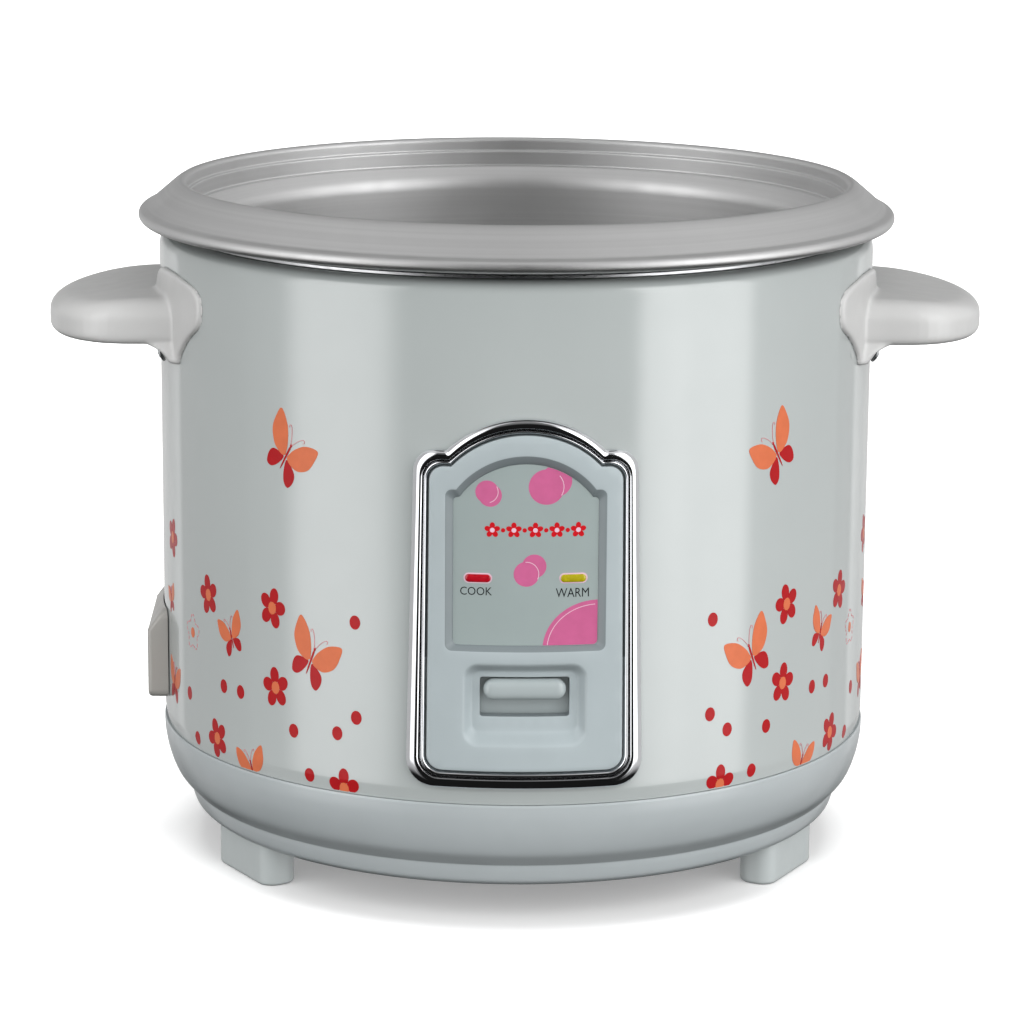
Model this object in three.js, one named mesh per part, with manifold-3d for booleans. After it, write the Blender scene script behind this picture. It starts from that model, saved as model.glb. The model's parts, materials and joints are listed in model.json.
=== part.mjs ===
// A drum rice cooker, in millimetres, +Z up. The origin is on the floor, under the middle of the drum.
// The control panel faces -Y, the power inlet faces -X, and the two handles point along +X and -X.
import * as THREE from 'three';
import Module from 'manifold-3d';
import { mergeVertices } from 'three/addons/utils/BufferGeometryUtils.js';

const wasm = await Module();
wasm.setup();

// ---- Driving dimensions ----------------------------------------------------------------------

const GAP = 0.3; // clearance between pieces that rest on each other
const ROUND = 32; // sides of the large turned pieces
const SMALL_ROUND = 12; // sides of pins and screws

// The drum: base bowl, painted shell and the metal liner inside it.
const BASE_Z = 14.4;
const SEAM_Z = 44;
const SHELL_RADIUS = 120;
const SHELL_WALL = 1;
const SHELL_TOP_Z = 211;
const LINER_RADIUS = 107.2;
const LINER_WALL = 0.8;
const LINER_FLOOR_Z = 84;
const LINER_FLOOR_TOP = LINER_FLOOR_Z + LINER_WALL;

// The cooking pan.
const PAN_WALL = 1.3;
const PAN_RADIUS = 104;
const PAN_BOTTOM_Z = 100.3;
const PAN_CORNER = 21;
const LID_SEAT_Z = 217.7;
const RIM_Z = 227.7;
const BEAD = { r: 124.9, z: 216.4, radius: 2 };

// The heating plate and what stands around it.
const PLATE_RADIUS = 80;
const PLATE_TOP_Z = PAN_BOTTOM_Z - GAP;
const PLATE_UNDER_Z = 88;
const PLATE_HOLE = 18.3;
const ELEMENT_RING = 65;
const LEG_CIRCLE = 75;
const TERMINAL_X = 28;
const TERMINAL_Y = Math.sqrt(ELEMENT_RING ** 2 - TERMINAL_X ** 2);
const TERMINAL_HOLE = 5;

// The control panel, whose outlines are given as half widths and heights seen from the front.
const FASCIA_RADIUS = 122.6;
const FRAME_RADIUS = 124;
const FRAME_LOW_RADIUS = 123.2;
const PANEL_ROUND = 72; // sides of the tubes that the panel pieces are cut from
const FRAME_OUTER = {
  half: 34.6, halfLow: 36, bottom: 51, corner: 9, shoulder: 158.5, round: 7, archZ: 133.7, arch: 35,
};
const FRAME_RIDGE = {
  half: 32.2, halfLow: 33.4, bottom: 53.5, corner: 7, shoulder: 156, round: 6, archZ: 132.8, arch: 33.4,
};
const FRAME_INNER = {
  half: 30.5, halfLow: 31.2, bottom: 55.5, corner: 5, shoulder: 153.9, round: 5, archZ: 132.1, arch: 32,
};
const WINDOW = {
  half: 25, halfLow: 25, bottom: 94.9, corner: 2, shoulder: 146.2, round: 2, archZ: 130.1, arch: 27,
};
const LABEL_RADIUS = 120.6;
const LABEL_WALL = 0.8;
const LAMP = { x: 14.9, z: 118, length: 8, height: 2.5 };

// The switch: a recess, a slot in its floor, and a knob on a lever that rocks about a pin.
const RECESS = { half: 19.6, low: 64, high: 90.9, corner: 5, floor: 118.8 };
const SLOT = { half: 14, low: 73, high: 85.7, depth: 115 };
const KNOB = { half: 13, z: 82, height: 6.6, front: 121, back: 116 };
const LEVER_Y = -70;
const LEVER_Z = 76;
const SHIELD = { outer: 43.3, inner: 42.1, half: 15.5, from: -7, to: 21 };
const LEVER_WIDTH = 10;
const LEVER_THICKNESS = 2.5;
const FORK_Z = 48;
const PIN_RADIUS = 2;

// The thermal sensor and the magnet on the drum's axis.
const SLEEVE = { inner: 11.8, outer: 12.8, bottom: 67, top: 88, flange: 26 };
const CAP = { outer: 17, inner: 16, bottom: 86.2 };
const MAGNET = { radius: 9.5, bottom: 70.2, top: 82 };
const ROD = { radius: 2, bottom: 43, top: 68.7 };
const COLLAR = { radius: 6, bottom: 50, height: 1.5 };

// The handles. The grip's plan is straight at the sides and round at the tip.
const GRIP = { low: 177.7, high: 190.1, half: 43, straight: 128, tip: 157, soft: 3 };
const HANDLE_WALL = 3;
const FLANGE_RADIUS = 122;
const HANDLE_LEG = { y: 41, half: 4.5, foot: 116, reach: 120.8, low: 171.6 };

// The power inlet.
const INLET = { face: -124.5, half: 27, low: 51, high: 77, bevel: 84, z: 64 };
const SOCKET = { half: 12.25, halfHeight: 8.25, depth: 17.5 };

// The feet.
const FOOT = { face: 107, thickness: 13, length: 36, corner: 5.5 };
const FOOT_ANGLES = { foot_front_left: -60, foot_front_right: 60, foot_back: 180 };

// ---- Materials -------------------------------------------------------------------------------

function material(color, roughness, metalness = 0) {
  return new THREE.MeshStandardMaterial({ color, roughness, metalness });
}

const shellPaint = material('#c9ceca', 0.3, 0.2);
const bowlPlastic = material('#a3aaaf', 0.35);
const inletPlastic = material('#9c9c95', 0.4);
const footPlastic = material('#a0a8a8', 0.5);
const handlePlastic = material('#c9c9c8', 0.3);
const fasciaPlastic = material('#bec7c9', 0.35);
const labelPrint = material('#9da8ab', 0.45);
const knobPlastic = material('#d8dcdc', 0.25);
const redLens = material('#a01018', 0.3);
const yellowLens = material('#8f8a10', 0.3);
const chrome = material('#e4e6ea', 0.08, 1);
const aluminium = material('#c3c4c6', 0.35, 1);
const sheetSteel = material('#b9bcbe', 0.4, 1);
const steel = material('#8f9296', 0.4, 1);
const brass = material('#b89b52', 0.35, 1);
const ferrite = material('#33343a', 0.7);
const phenolic = material('#2a2622', 0.6);
const ceramic = material('#e8e3d6', 0.7);
const bulbGlass = material('#e8b48c', 0.15);
const wireSleeve = material('#c7c2b2', 0.6);

// ---- Shape helpers ---------------------------------------------------------------------------

// A solid from a closed geometry: equal corners merged, and triangles with no area left out.
function toSolid(geometry) {
  const bare = geometry.clone();
  bare.deleteAttribute('normal');
  bare.deleteAttribute('uv');
  const merged = mergeVertices(bare, 1e-4);
  const index = merged.index.array;
  const kept = [];
  for (let i = 0; i < index.length; i += 3) {
    const [a, b, c] = [index[i], index[i + 1], index[i + 2]];
    if (a !== b && b !== c && c !== a) kept.push(a, b, c);
  }
  return new wasm.Manifold(new wasm.Mesh({
    numProp: 3,
    vertProperties: new Float32Array(merged.attributes.position.array),
    triVerts: new Uint32Array(kept),
  }));
}

function toGeometry(solid) {
  const data = solid.getMesh();
  const geometry = new THREE.BufferGeometry();
  geometry.setAttribute('position', new THREE.BufferAttribute(new Float32Array(data.vertProperties), 3));
  geometry.setIndex(Array.from(data.triVerts));
  geometry.computeVertexNormals();
  return geometry;
}

function named(name, solid, look) {
  const mesh = new THREE.Mesh(toGeometry(solid), look);
  mesh.name = name;
  return mesh;
}

// Points [radius, height] on an arc, with angles in degrees from the outward direction.
function arc(r, z, radius, from, to, steps) {
  const points = [];
  for (let i = 0; i <= steps; i += 1) {
    const angle = THREE.MathUtils.degToRad(from + (to - from) * i / steps);
    points.push([r + radius * Math.cos(angle), z + radius * Math.sin(angle)]);
  }
  return points;
}

// A turned solid about the Z axis. The outline runs from the axis back to the axis, outer side first.
function turned(outline, sides = ROUND) {
  const profile = outline.map(([r, z]) => new THREE.Vector2(r, z));
  return toSolid(new THREE.LatheGeometry(profile, sides).rotateX(Math.PI / 2));
}

// A turned ring, whose outline closes on itself.
function ring(outline, sides = ROUND) {
  return turned([...outline, outline[0]], sides);
}

function tube(inner, outer, low, high, sides = ROUND) {
  return ring([[inner, low], [outer, low], [outer, high], [inner, high]], sides);
}

function disc(radius, low, high, sides = SMALL_ROUND) {
  return turned([[0, low], [radius, low], [radius, high], [0, high]], sides);
}

function block(low, high) {
  const size = high.map((value, i) => value - low[i]);
  const centre = high.map((value, i) => (value + low[i]) / 2);
  return toSolid(new THREE.BoxGeometry(...size).translate(...centre));
}

// A round bar between two points.
function bar(from, to, radius, sides = SMALL_ROUND) {
  const start = new THREE.Vector3(...from);
  const end = new THREE.Vector3(...to);
  const along = end.clone().sub(start);
  const upright = new THREE.Vector3(0, 1, 0);
  const turn = new THREE.Quaternion().setFromUnitVectors(upright, along.clone().normalize());
  const geometry = new THREE.CylinderGeometry(radius, radius, along.length(), sides);
  geometry.applyQuaternion(turn);
  geometry.translate(...start.add(end).multiplyScalar(0.5));
  return toSolid(geometry);
}

function extruded(shape, depth) {
  return new THREE.ExtrudeGeometry(shape, { depth, bevelEnabled: false, curveSegments: 3 });
}

// A prism with its outline in x and z, running from the drum's axis out to the front.
function frontPrism(shape, depth = 140) {
  return toSolid(extruded(shape, depth).rotateX(Math.PI / 2));
}

// A prism with its outline in y and z, running along +X from x = 0.
function sidePrism(shape, depth) {
  const basis = new THREE.Matrix4().makeBasis(
    new THREE.Vector3(0, 1, 0), new THREE.Vector3(0, 0, 1), new THREE.Vector3(1, 0, 0));
  return toSolid(extruded(shape, depth).applyMatrix4(basis));
}

// A prism with its outline in x and y, standing between two heights.
function uprightPrism(shape, low, high) {
  return toSolid(extruded(shape, high - low).translate(0, 0, low));
}

function polygon(points) {
  return new THREE.Shape(points.map(([x, y]) => new THREE.Vector2(x, y)));
}

function roundedRectangle(x0, y0, x1, y1, radius) {
  const shape = new THREE.Shape();
  shape.absarc(x1 - radius, y0 + radius, radius, -Math.PI / 2, 0);
  shape.absarc(x1 - radius, y1 - radius, radius, 0, Math.PI / 2);
  shape.absarc(x0 + radius, y1 - radius, radius, Math.PI / 2, Math.PI);
  shape.absarc(x0 + radius, y0 + radius, radius, Math.PI, Math.PI * 1.5);
  return shape;
}

// A bar of even thickness along a bent line.
function strip(line, thickness) {
  const half = thickness / 2;
  const points = line.map(([x, y]) => new THREE.Vector2(x, y));
  const left = [];
  const right = [];
  points.forEach((point, i) => {
    const before = points[Math.max(i - 1, 0)];
    const after = points[Math.min(i + 1, points.length - 1)];
    const along = after.clone().sub(before).normalize();
    const across = new THREE.Vector2(-along.y, along.x).multiplyScalar(half);
    left.push(point.clone().add(across));
    right.unshift(point.clone().sub(across));
  });
  return new THREE.Shape([...left, ...right]);
}

// The panel's outline: straight sides, round lower corners, round shoulders and an arch between them.
function archOutline({ half, halfLow, bottom, corner, shoulder, round, archZ, arch }) {
  const shape = new THREE.Shape();
  const notch = Math.acos(Math.sqrt(arch ** 2 - (shoulder - archZ) ** 2) / arch);
  shape.absarc(halfLow - corner, bottom + corner, corner, -Math.PI / 2, 0);
  shape.absarc(half - round, shoulder - round, round, 0, Math.PI / 2);
  shape.absarc(0, archZ, arch, notch, Math.PI - notch);
  shape.absarc(round - half, shoulder - round, round, Math.PI / 2, Math.PI);
  shape.absarc(corner - halfLow, bottom + corner, corner, Math.PI, Math.PI * 1.5);
  return shape;
}

// The same outline moved inwards or outwards on every side.
function grown(outline, by) {
  return {
    half: outline.half + by,
    halfLow: outline.halfLow + by,
    bottom: outline.bottom - by,
    corner: Math.max(outline.corner + by, 0.8),
    shoulder: outline.shoulder + by,
    round: Math.max(outline.round + by, 0.8),
    archZ: outline.archZ,
    arch: outline.arch + by,
  };
}

// A layer of the panel: what an outline seen from the front cuts out of a tube round the drum.
function layer(shape, inner, outer) {
  return tube(inner, outer, 40, 180, PANEL_ROUND).intersect(frontPrism(shape));
}

class Helix extends THREE.Curve {
  constructor(radius, low, high, turns) {
    super();
    Object.assign(this, { radius, low, high, turns });
  }

  getPoint(t) {
    const angle = 2 * Math.PI * this.turns * t;
    const height = this.low + (this.high - this.low) * t;
    return new THREE.Vector3(this.radius * Math.cos(angle), this.radius * Math.sin(angle), height);
  }
}

function wireAlong(path, radius, sides, steps) {
  const section = new THREE.Shape();
  for (let i = 0; i < sides; i += 1) {
    const angle = 2 * Math.PI * i / sides;
    const x = radius * Math.cos(angle);
    const y = radius * Math.sin(angle);
    if (i === 0) section.moveTo(x, y);
    else section.lineTo(x, y);
  }
  section.closePath();
  return toSolid(new THREE.ExtrudeGeometry(section, { steps, bevelEnabled: false, extrudePath: path }));
}

function coilSpring(radius, wire, low, high, turns) {
  const stepsPerTurn = 8;
  return wireAlong(new Helix(radius, low + wire, high - wire, turns), wire, 4, turns * stepsPerTurn);
}

// A screw standing on its tip at the origin, with its head up.
function screw(shank, length, head, headHeight) {
  const top = length + headHeight;
  return turned([[0, 0], [shank, 0], [shank, length], [head, length], [head, top], [0, top]], 10);
}

// ---- The cooking pan -------------------------------------------------------------------------

function cookingPan() {
  const floor = PAN_BOTTOM_Z + PAN_WALL;
  const corner = PAN_RADIUS + PAN_WALL - PAN_CORNER;
  const cornerZ = PAN_BOTTOM_Z + PAN_CORNER;
  const outside = [
    [0, PAN_BOTTOM_Z],
    ...arc(corner, cornerZ, PAN_CORNER, -90, 0, 3),
    [105.3, 212.5], [109.3, 216.4], [111.3, 216.4], [111.3, 221.7], [112.3, 221.7], [112.3, 225.6],
    [113.7, 225.6], [122.8, 217.9],
  ];
  const bead = arc(BEAD.r, BEAD.z, BEAD.radius, 180, 430, 6);
  const inside = [
    [124.9, 218], [114.5, 227], [113.2, RIM_Z], [111.8, RIM_Z], [111, 227], [111, 223], [110, 223],
    [110, LID_SEAT_Z], [108.8, LID_SEAT_Z], [PAN_RADIUS, 213],
    ...arc(corner, cornerZ, PAN_CORNER - PAN_WALL, 0, -90, 3),
    [0, floor],
  ];
  return named('cooking_pan', turned([...outside, ...bead, ...inside]), aluminium);
}

// ---- Drum ------------------------------------------------------------------------------------

function bodyShell() {
  const inner = SHELL_RADIUS - SHELL_WALL;
  const top = SHELL_TOP_Z;
  const skin = ring([
    [inner, SEAM_Z + GAP], [SHELL_RADIUS, SEAM_Z + GAP], [SHELL_RADIUS, top - 5], [118.5, top - 1.6],
    [115, top], [109, top], [109, top - SHELL_WALL], [114.6, top - SHELL_WALL], [117.6, top - 2.4],
    [inner, top - 5.6],
  ]);
  const panelHole = frontPrism(archOutline(grown(WINDOW, 3.2)))
    .add(frontPrism(roundedRectangle(-23, 60, 23, 96, 2)));
  const inletHole = block([-130, -16, INLET.z - 11], [-100, 16, INLET.z + 11]);
  let shell = skin.subtract(panelHole).subtract(inletHole);
  inletScrewPlaces().forEach((place) => {
    shell = shell.subtract(bar([-130, place.y, place.z], [-110, place.y, place.z], 1.9));
  });
  handleScrewPlaces().forEach((place) => {
    shell = shell.subtract(bar(place.tip.toArray(), place.end.toArray(), 2.1));
  });
  return named('body_shell', shell, shellPaint);
}

function innerLiner() {
  const outer = LINER_RADIUS + LINER_WALL;
  const seat = SHELL_TOP_Z + GAP;
  let liner = ring([
    [20, LINER_FLOOR_Z], [outer - 3, LINER_FLOOR_Z], [outer, LINER_FLOOR_Z + 3], [outer, seat],
    [114, seat], [114, seat + LINER_WALL], [LINER_RADIUS, seat + LINER_WALL],
    [LINER_RADIUS, LINER_FLOOR_Z + 3.6], [LINER_RADIUS - 2.8, LINER_FLOOR_TOP], [20, LINER_FLOOR_TOP],
  ]);
  [-TERMINAL_X, TERMINAL_X].forEach((x) => {
    liner = liner.subtract(disc(TERMINAL_HOLE, 80, 90).translate(x, TERMINAL_Y, 0));
  });
  legPlaces().forEach(([x, y]) => {
    liner = liner.subtract(disc(2, 80, 90).translate(x, y, 0));
  });
  return named('inner_liner', liner, sheetSteel);
}

function warmHeater() {
  const inner = LINER_RADIUS + LINER_WALL + GAP;
  return named('warm_heater', tube(inner, inner + 1.4, 132, 168), wireSleeve);
}

function baseBowl() {
  const skirt = [
    [108.8, BASE_Z], [110.6, 16.5], [111.4, 19.5], [111.8, 21.8], [113.2, 22.5], [116.6, 27],
    [118.9, 33], [120.1, 39], [120.3, SEAM_Z],
  ];
  const spigot = [[118.4, SEAM_Z], [118.4, SEAM_Z + 5], [116.6, SEAM_Z + 5], [117.6, 37], [114.6, 28.4]];
  const floor = [
    [109, 22], [106.6, 18.7], [88, 18.7], [88, 16.7], [98, 16.7], [98, BASE_Z],
  ];
  let bowl = ring([...skirt, ...spigot, ...floor]);
  bottomScrewPlaces().forEach(([x, y]) => {
    bowl = bowl.subtract(disc(1.9, 10, 24).translate(x, y, 0));
  });
  return named('base_bowl', bowl, bowlPlastic);
}

function bottomPlate() {
  let plate = disc(97.6, 14.8, 16.4, ROUND);
  bottomScrewPlaces().forEach(([x, y]) => {
    plate = plate.subtract(disc(1.9, 10, 24).translate(x, y, 0));
  });
  const ventCount = 6;
  for (let i = 0; i < ventCount; i += 1) {
    const vent = block([30, -3, 10], [66, 3, 20]).rotate([0, 0, 360 * i / ventCount]);
    plate = plate.subtract(vent);
  }
  return named('bottom_plate', plate, sheetSteel);
}

function aroundAxis(radius, degreesFromFront) {
  const angle = THREE.MathUtils.degToRad(degreesFromFront);
  return [radius * Math.sin(angle), -radius * Math.cos(angle)];
}

function bottomScrewPlaces() {
  return [0, 120, 240].map((degrees) => aroundAxis(92.5, degrees));
}

function bottomScrews() {
  return bottomScrewPlaces().map(([x, y], i) => {
    const piece = named(`bottom_screw_${i + 1}`, screw(1.5, 8, 3.2, 1.7), steel);
    piece.rotation.x = Math.PI;
    piece.position.set(x, y, 14.5 + 8);
    return piece;
  });
}

function feet() {
  const half = FOOT.length / 2;
  const plan = roundedRectangle(-half, -FOOT.thickness / 2, half, FOOT.thickness / 2, FOOT.corner);
  const solid = uprightPrism(plan, 0, BASE_Z - GAP);
  return Object.entries(FOOT_ANGLES).map(([name, degrees]) => {
    const foot = named(name, solid, footPlastic);
    const [x, y] = aroundAxis(FOOT.face - FOOT.thickness / 2, degrees);
    foot.position.set(x, y, 0);
    foot.rotation.z = THREE.MathUtils.degToRad(degrees);
    return foot;
  });
}

// ---- Handles ---------------------------------------------------------------------------------

// The right handle's screws: the head sits on the leg's sloping face and the shank runs into the drum.
function handleScrewPlaces() {
  const slope = THREE.MathUtils.degToRad(25);
  const outward = new THREE.Vector3(Math.cos(slope), 0, -Math.sin(slope));
  const places = [];
  [0, Math.PI].forEach((turn) => {
    [-HANDLE_LEG.y, HANDLE_LEG.y].forEach((y) => {
      const seat = new THREE.Vector3(HANDLE_LEG.foot + 0.8, y, 174.9);
      const tip = seat.clone().addScaledVector(outward, -11);
      const end = seat.clone().addScaledVector(outward, 12);
      [seat, tip, end].forEach((point) => point.applyAxisAngle(new THREE.Vector3(0, 0, 1), turn));
      places.push({ seat, tip, end });
    });
  });
  return places;
}

function handleSolid() {
  const plan = new THREE.Shape();
  plan.moveTo(60, -GRIP.half);
  plan.lineTo(GRIP.straight, -GRIP.half);
  plan.bezierCurveTo(147, -GRIP.half, GRIP.tip, -24, GRIP.tip, 0);
  plan.bezierCurveTo(GRIP.tip, 24, 147, GRIP.half, GRIP.straight, GRIP.half);
  plan.lineTo(60, GRIP.half);
  plan.closePath();
  const grip = toSolid(new THREE.ExtrudeGeometry(plan, {
    depth: GRIP.high - GRIP.low - 2 * GRIP.soft,
    curveSegments: 5,
    bevelThickness: GRIP.soft,
    bevelSize: GRIP.soft,
    bevelOffset: -GRIP.soft,
    bevelSegments: 2,
  }).translate(0, 0, GRIP.low + GRIP.soft));
  const flangeHalf = [
    [0, 192], [15, 195], [30, 197.4], [52, 201.6], [60, 199.2], [62.6, 195.6], [62, 187.2], [53, 181],
    [47, 175], [45.5, HANDLE_LEG.low], [36.5, HANDLE_LEG.low], [34, 176.5],
  ];
  const mirrored = flangeHalf.slice(1).reverse().map(([y, z]) => [-y, z]);
  const flange = tube(110, FLANGE_RADIUS, 165, 205, PANEL_ROUND)
    .intersect(sidePrism(polygon([...flangeHalf, ...mirrored]), 140));
  const { y, half, foot, reach, low } = HANDLE_LEG;
  const legTop = GRIP.low + GRIP.soft;
  const legSide = polygon([[100, low], [foot, low], [reach, legTop], [100, legTop]]);
  const leg = toSolid(extruded(legSide, 2 * half).rotateX(Math.PI / 2));
  const pocketHalf = GRIP.half - GRIP.soft - HANDLE_WALL;
  const pocketShape = roundedRectangle(126.5, -pocketHalf, 147, pocketHalf, 9);
  const pocket = uprightPrism(pocketShape, GRIP.low - 1, GRIP.high - HANDLE_WALL - 0.6);
  let solid = grip.add(flange).subtract(pocket);
  [-y, y].forEach((middle) => {
    solid = solid.add(leg.translate(0, middle + half, 0));
  });
  solid = solid.subtract(disc(SHELL_RADIUS + GAP, 150, 220, PANEL_ROUND));
  handleScrewPlaces().slice(0, 2).forEach(({ seat, tip, end }) => {
    solid = solid.subtract(bar(tip.toArray(), end.toArray(), 1.9));
    solid = solid.subtract(bar(seat.toArray(), end.toArray(), 3.1));
  });
  return solid;
}

function handles() {
  const solid = handleSolid();
  const right = named('handle_right', solid, handlePlastic);
  const left = named('handle_left', solid, handlePlastic);
  left.rotation.z = Math.PI;
  const screws = handleScrewPlaces().map(({ seat, tip }, i) => {
    const side = i < 2 ? 'right' : 'left';
    const piece = named(`handle_screw_${side}_${i % 2 + 1}`, screw(1.5, 10.5, 2.6, 1.4), steel);
    const outward = seat.clone().sub(tip).normalize();
    piece.quaternion.setFromUnitVectors(new THREE.Vector3(0, 0, 1), outward);
    piece.position.copy(seat).addScaledVector(outward, GAP - 10.5);
    return piece;
  });
  return [right, left, ...screws];
}

// ---- Control panel ---------------------------------------------------------------------------

function panelFrame() {
  const back = SHELL_RADIUS + GAP;
  const low = layer(archOutline(FRAME_OUTER), back, FRAME_LOW_RADIUS);
  const ridge = layer(archOutline(FRAME_OUTER), back, FRAME_RADIUS)
    .subtract(frontPrism(archOutline(FRAME_RIDGE)));
  const opening = frontPrism(archOutline(FRAME_INNER));
  return named('panel_frame', low.add(ridge).subtract(opening), chrome);
}

function pill(x, z, length, height) {
  return roundedRectangle(x - length / 2, z - height / 2, x + length / 2, z + height / 2, height / 2 - 0.01);
}

function lampHoles(margin) {
  const holes = [-LAMP.x, LAMP.x].map((x) => (
    frontPrism(pill(x, LAMP.z, LAMP.length + 2 * margin, LAMP.height + 2 * margin))));
  return holes[0].add(holes[1]);
}

function slotCollar() {
  return layer(roundedRectangle(-16, 71.2, 16, 87.5, 1.5), SLOT.depth, RECESS.floor - 1);
}

function panelPlate() {
  const labelFloor = LABEL_RADIUS - LABEL_WALL - GAP;
  const front = layer(archOutline(grown(FRAME_INNER, -GAP)), SHELL_RADIUS + GAP, FASCIA_RADIUS);
  const windowTub = layer(archOutline(grown(WINDOW, 2)), labelFloor - 1.5, SHELL_RADIUS + 1);
  const switchTub = layer(roundedRectangle(-21.8, 62, 21.8, 93, 5), RECESS.floor - 2, SHELL_RADIUS + 1);
  const windowCut = layer(archOutline(WINDOW), labelFloor, 130);
  const recessShape = roundedRectangle(-RECESS.half, RECESS.low, RECESS.half, RECESS.high, RECESS.corner);
  const recessCut = layer(recessShape, RECESS.floor, 130);
  const slotCut = frontPrism(roundedRectangle(-SLOT.half, SLOT.low, SLOT.half, SLOT.high, 0.8));
  const plate = front.add(windowTub).add(switchTub).subtract(windowCut).subtract(recessCut)
    .add(slotCollar()).subtract(slotCut).subtract(lampHoles(GAP));
  return named('panel_plate', plate, fasciaPlastic);
}

function labelPlate() {
  const sheet = layer(archOutline(grown(WINDOW, -GAP)), LABEL_RADIUS - LABEL_WALL, LABEL_RADIUS);
  return named('label_plate', sheet.subtract(lampHoles(GAP)), labelPrint);
}

function lamps() {
  const lens = layer(pill(0, LAMP.z, LAMP.length, LAMP.height), 117.6, 121);
  const bulb = bar([-4.5, 0, 0], [4.5, 0, 0], 2);
  const sides = [['cook', -LAMP.x, redLens], ['warm', LAMP.x, yellowLens]];
  return sides.flatMap(([name, x, look]) => {
    const lensPiece = named(`${name}_lamp_lens`, lens, look);
    lensPiece.rotation.z = Math.asin(x / LABEL_RADIUS);
    const bulbPiece = named(`${name}_lamp_bulb`, bulb, bulbGlass);
    bulbPiece.position.set(x, -113.8, LAMP.z);
    return [lensPiece, bulbPiece];
  });
}

function lampHolder() {
  const back = layer(roundedRectangle(-22, 112, 22, 124, 1), 110.6, 111.7);
  return named('lamp_holder', back, phenolic);
}

// ---- Switch lever ----------------------------------------------------------------------------

// An annular sector about the lever's pin, seen from the side, with angles above the forward direction.
function leverSector(inner, outer, from, to) {
  const points = [
    ...arc(0, 0, outer, from, to, 6),
    ...arc(0, 0, inner, to, from, 6),
  ];
  return polygon(points.map(([forward, up]) => [LEVER_Y - forward, LEVER_Z + up]));
}

function leverKnob() {
  const { half, z, height, front, back } = KNOB;
  const barSide = roundedRectangle(-front, z - height / 2, -back, z + height / 2, 2.4);
  const knobBar = sidePrism(barSide, 2 * half).translate(-half, 0, 0);
  const neck = block([-10, -back - 1, z - 2], [10, -SHIELD.outer + LEVER_Y + 0.5, z + 2]);
  const shield = sidePrism(leverSector(SHIELD.inner, SHIELD.outer, SHIELD.from, SHIELD.to), 2 * SHIELD.half)
    .translate(-SHIELD.half, 0, 0);
  return named('lever_knob', knobBar.add(neck).add(shield), knobPlastic);
}

function leverArm() {
  const start = LEVER_Y - SHIELD.inner + GAP + 0.3;
  const line = [[start, LEVER_Z], [LEVER_Y, LEVER_Z], [-14, FORK_Z + 1.2], [4, FORK_Z]];
  const width = LEVER_WIDTH;
  const arm = sidePrism(strip(line, LEVER_THICKNESS), width).translate(-width / 2, 0, 0)
    .add(block([-6.5, -14, FORK_Z - 1.2], [6.5, 4, FORK_Z + 1.2]))
    .add(bar([-width / 2, LEVER_Y, LEVER_Z], [width / 2, LEVER_Y, LEVER_Z], 5, 16))
    .subtract(bar([-9, LEVER_Y, LEVER_Z], [9, LEVER_Y, LEVER_Z], PIN_RADIUS + 0.35, 16))
    .subtract(block([-3, -7, 40], [3, 20, 60]));
  return named('lever_arm', arm, steel);
}

function leverBracket() {
  const top = LINER_FLOOR_Z - GAP;
  let bracket = block([-15, LEVER_Y - 10, top - 1.5], [15, LEVER_Y + 9, top]);
  [-9.5, 8].forEach((x) => {
    bracket = bracket.add(block([x, LEVER_Y - 6, LEVER_Z - 6], [x + 1.5, LEVER_Y + 6, top - 0.5]));
  });
  const pinHole = bar([-20, LEVER_Y, LEVER_Z], [20, LEVER_Y, LEVER_Z], PIN_RADIUS + GAP, 16);
  return named('lever_bracket', bracket.subtract(pinHole), steel);
}

function leverPin() {
  return named('lever_pin', bar([-12, LEVER_Y, LEVER_Z], [12, LEVER_Y, LEVER_Z], PIN_RADIUS, 16), steel);
}

function microswitch() {
  const body = block([-3.2, -59, 74.2], [3.2, -40, LINER_FLOOR_Z - GAP]);
  return named('microswitch', body.subtract(disc(1.9, 70, 80.2).translate(0, -52, 0)), phenolic);
}

function switchPlunger() {
  return named('switch_plunger', disc(1.5, 70, 77.2).translate(0, -52, 0), knobPlastic);
}

// ---- Heater, sensor and magnet ---------------------------------------------------------------

function heatingPlate() {
  const bottom = 85.8;
  const half = 6;
  const plate = ring([
    [PLATE_HOLE, PLATE_UNDER_Z], [ELEMENT_RING - half, PLATE_UNDER_Z], [ELEMENT_RING - half + 2, bottom],
    [ELEMENT_RING + half - 2, bottom], [ELEMENT_RING + half, PLATE_UNDER_Z], [PLATE_RADIUS, PLATE_UNDER_Z],
    [PLATE_RADIUS, PLATE_TOP_Z - 5], [PLATE_RADIUS - 4, PLATE_TOP_Z], [PLATE_HOLE, PLATE_TOP_Z],
  ]);
  return named('heating_plate', plate, aluminium);
}

function elementTerminals() {
  const rod = disc(2.4, 72, 85.5);
  return [['left', -TERMINAL_X], ['right', TERMINAL_X]].map(([side, x]) => {
    const piece = named(`element_terminal_${side}`, rod, brass);
    piece.position.set(x, TERMINAL_Y, 0);
    return piece;
  });
}

function legPlaces() {
  return [60, 180, 300].map((degrees) => aroundAxis(LEG_CIRCLE, degrees));
}

function plateLegs() {
  const leg = tube(1.9, 4, LINER_FLOOR_TOP + GAP, PLATE_UNDER_Z - GAP, SMALL_ROUND);
  return legPlaces().flatMap(([x, y], i) => {
    const legPiece = named(`plate_leg_${i + 1}`, leg, aluminium);
    legPiece.position.set(x, y, 0);
    const screwPiece = named(`plate_screw_${i + 1}`, screw(1.5, 3.6, 3.4, 2), steel);
    screwPiece.rotation.x = Math.PI;
    screwPiece.position.set(x, y, LINER_FLOOR_Z - GAP + 3.6);
    return [legPiece, screwPiece];
  });
}

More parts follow.
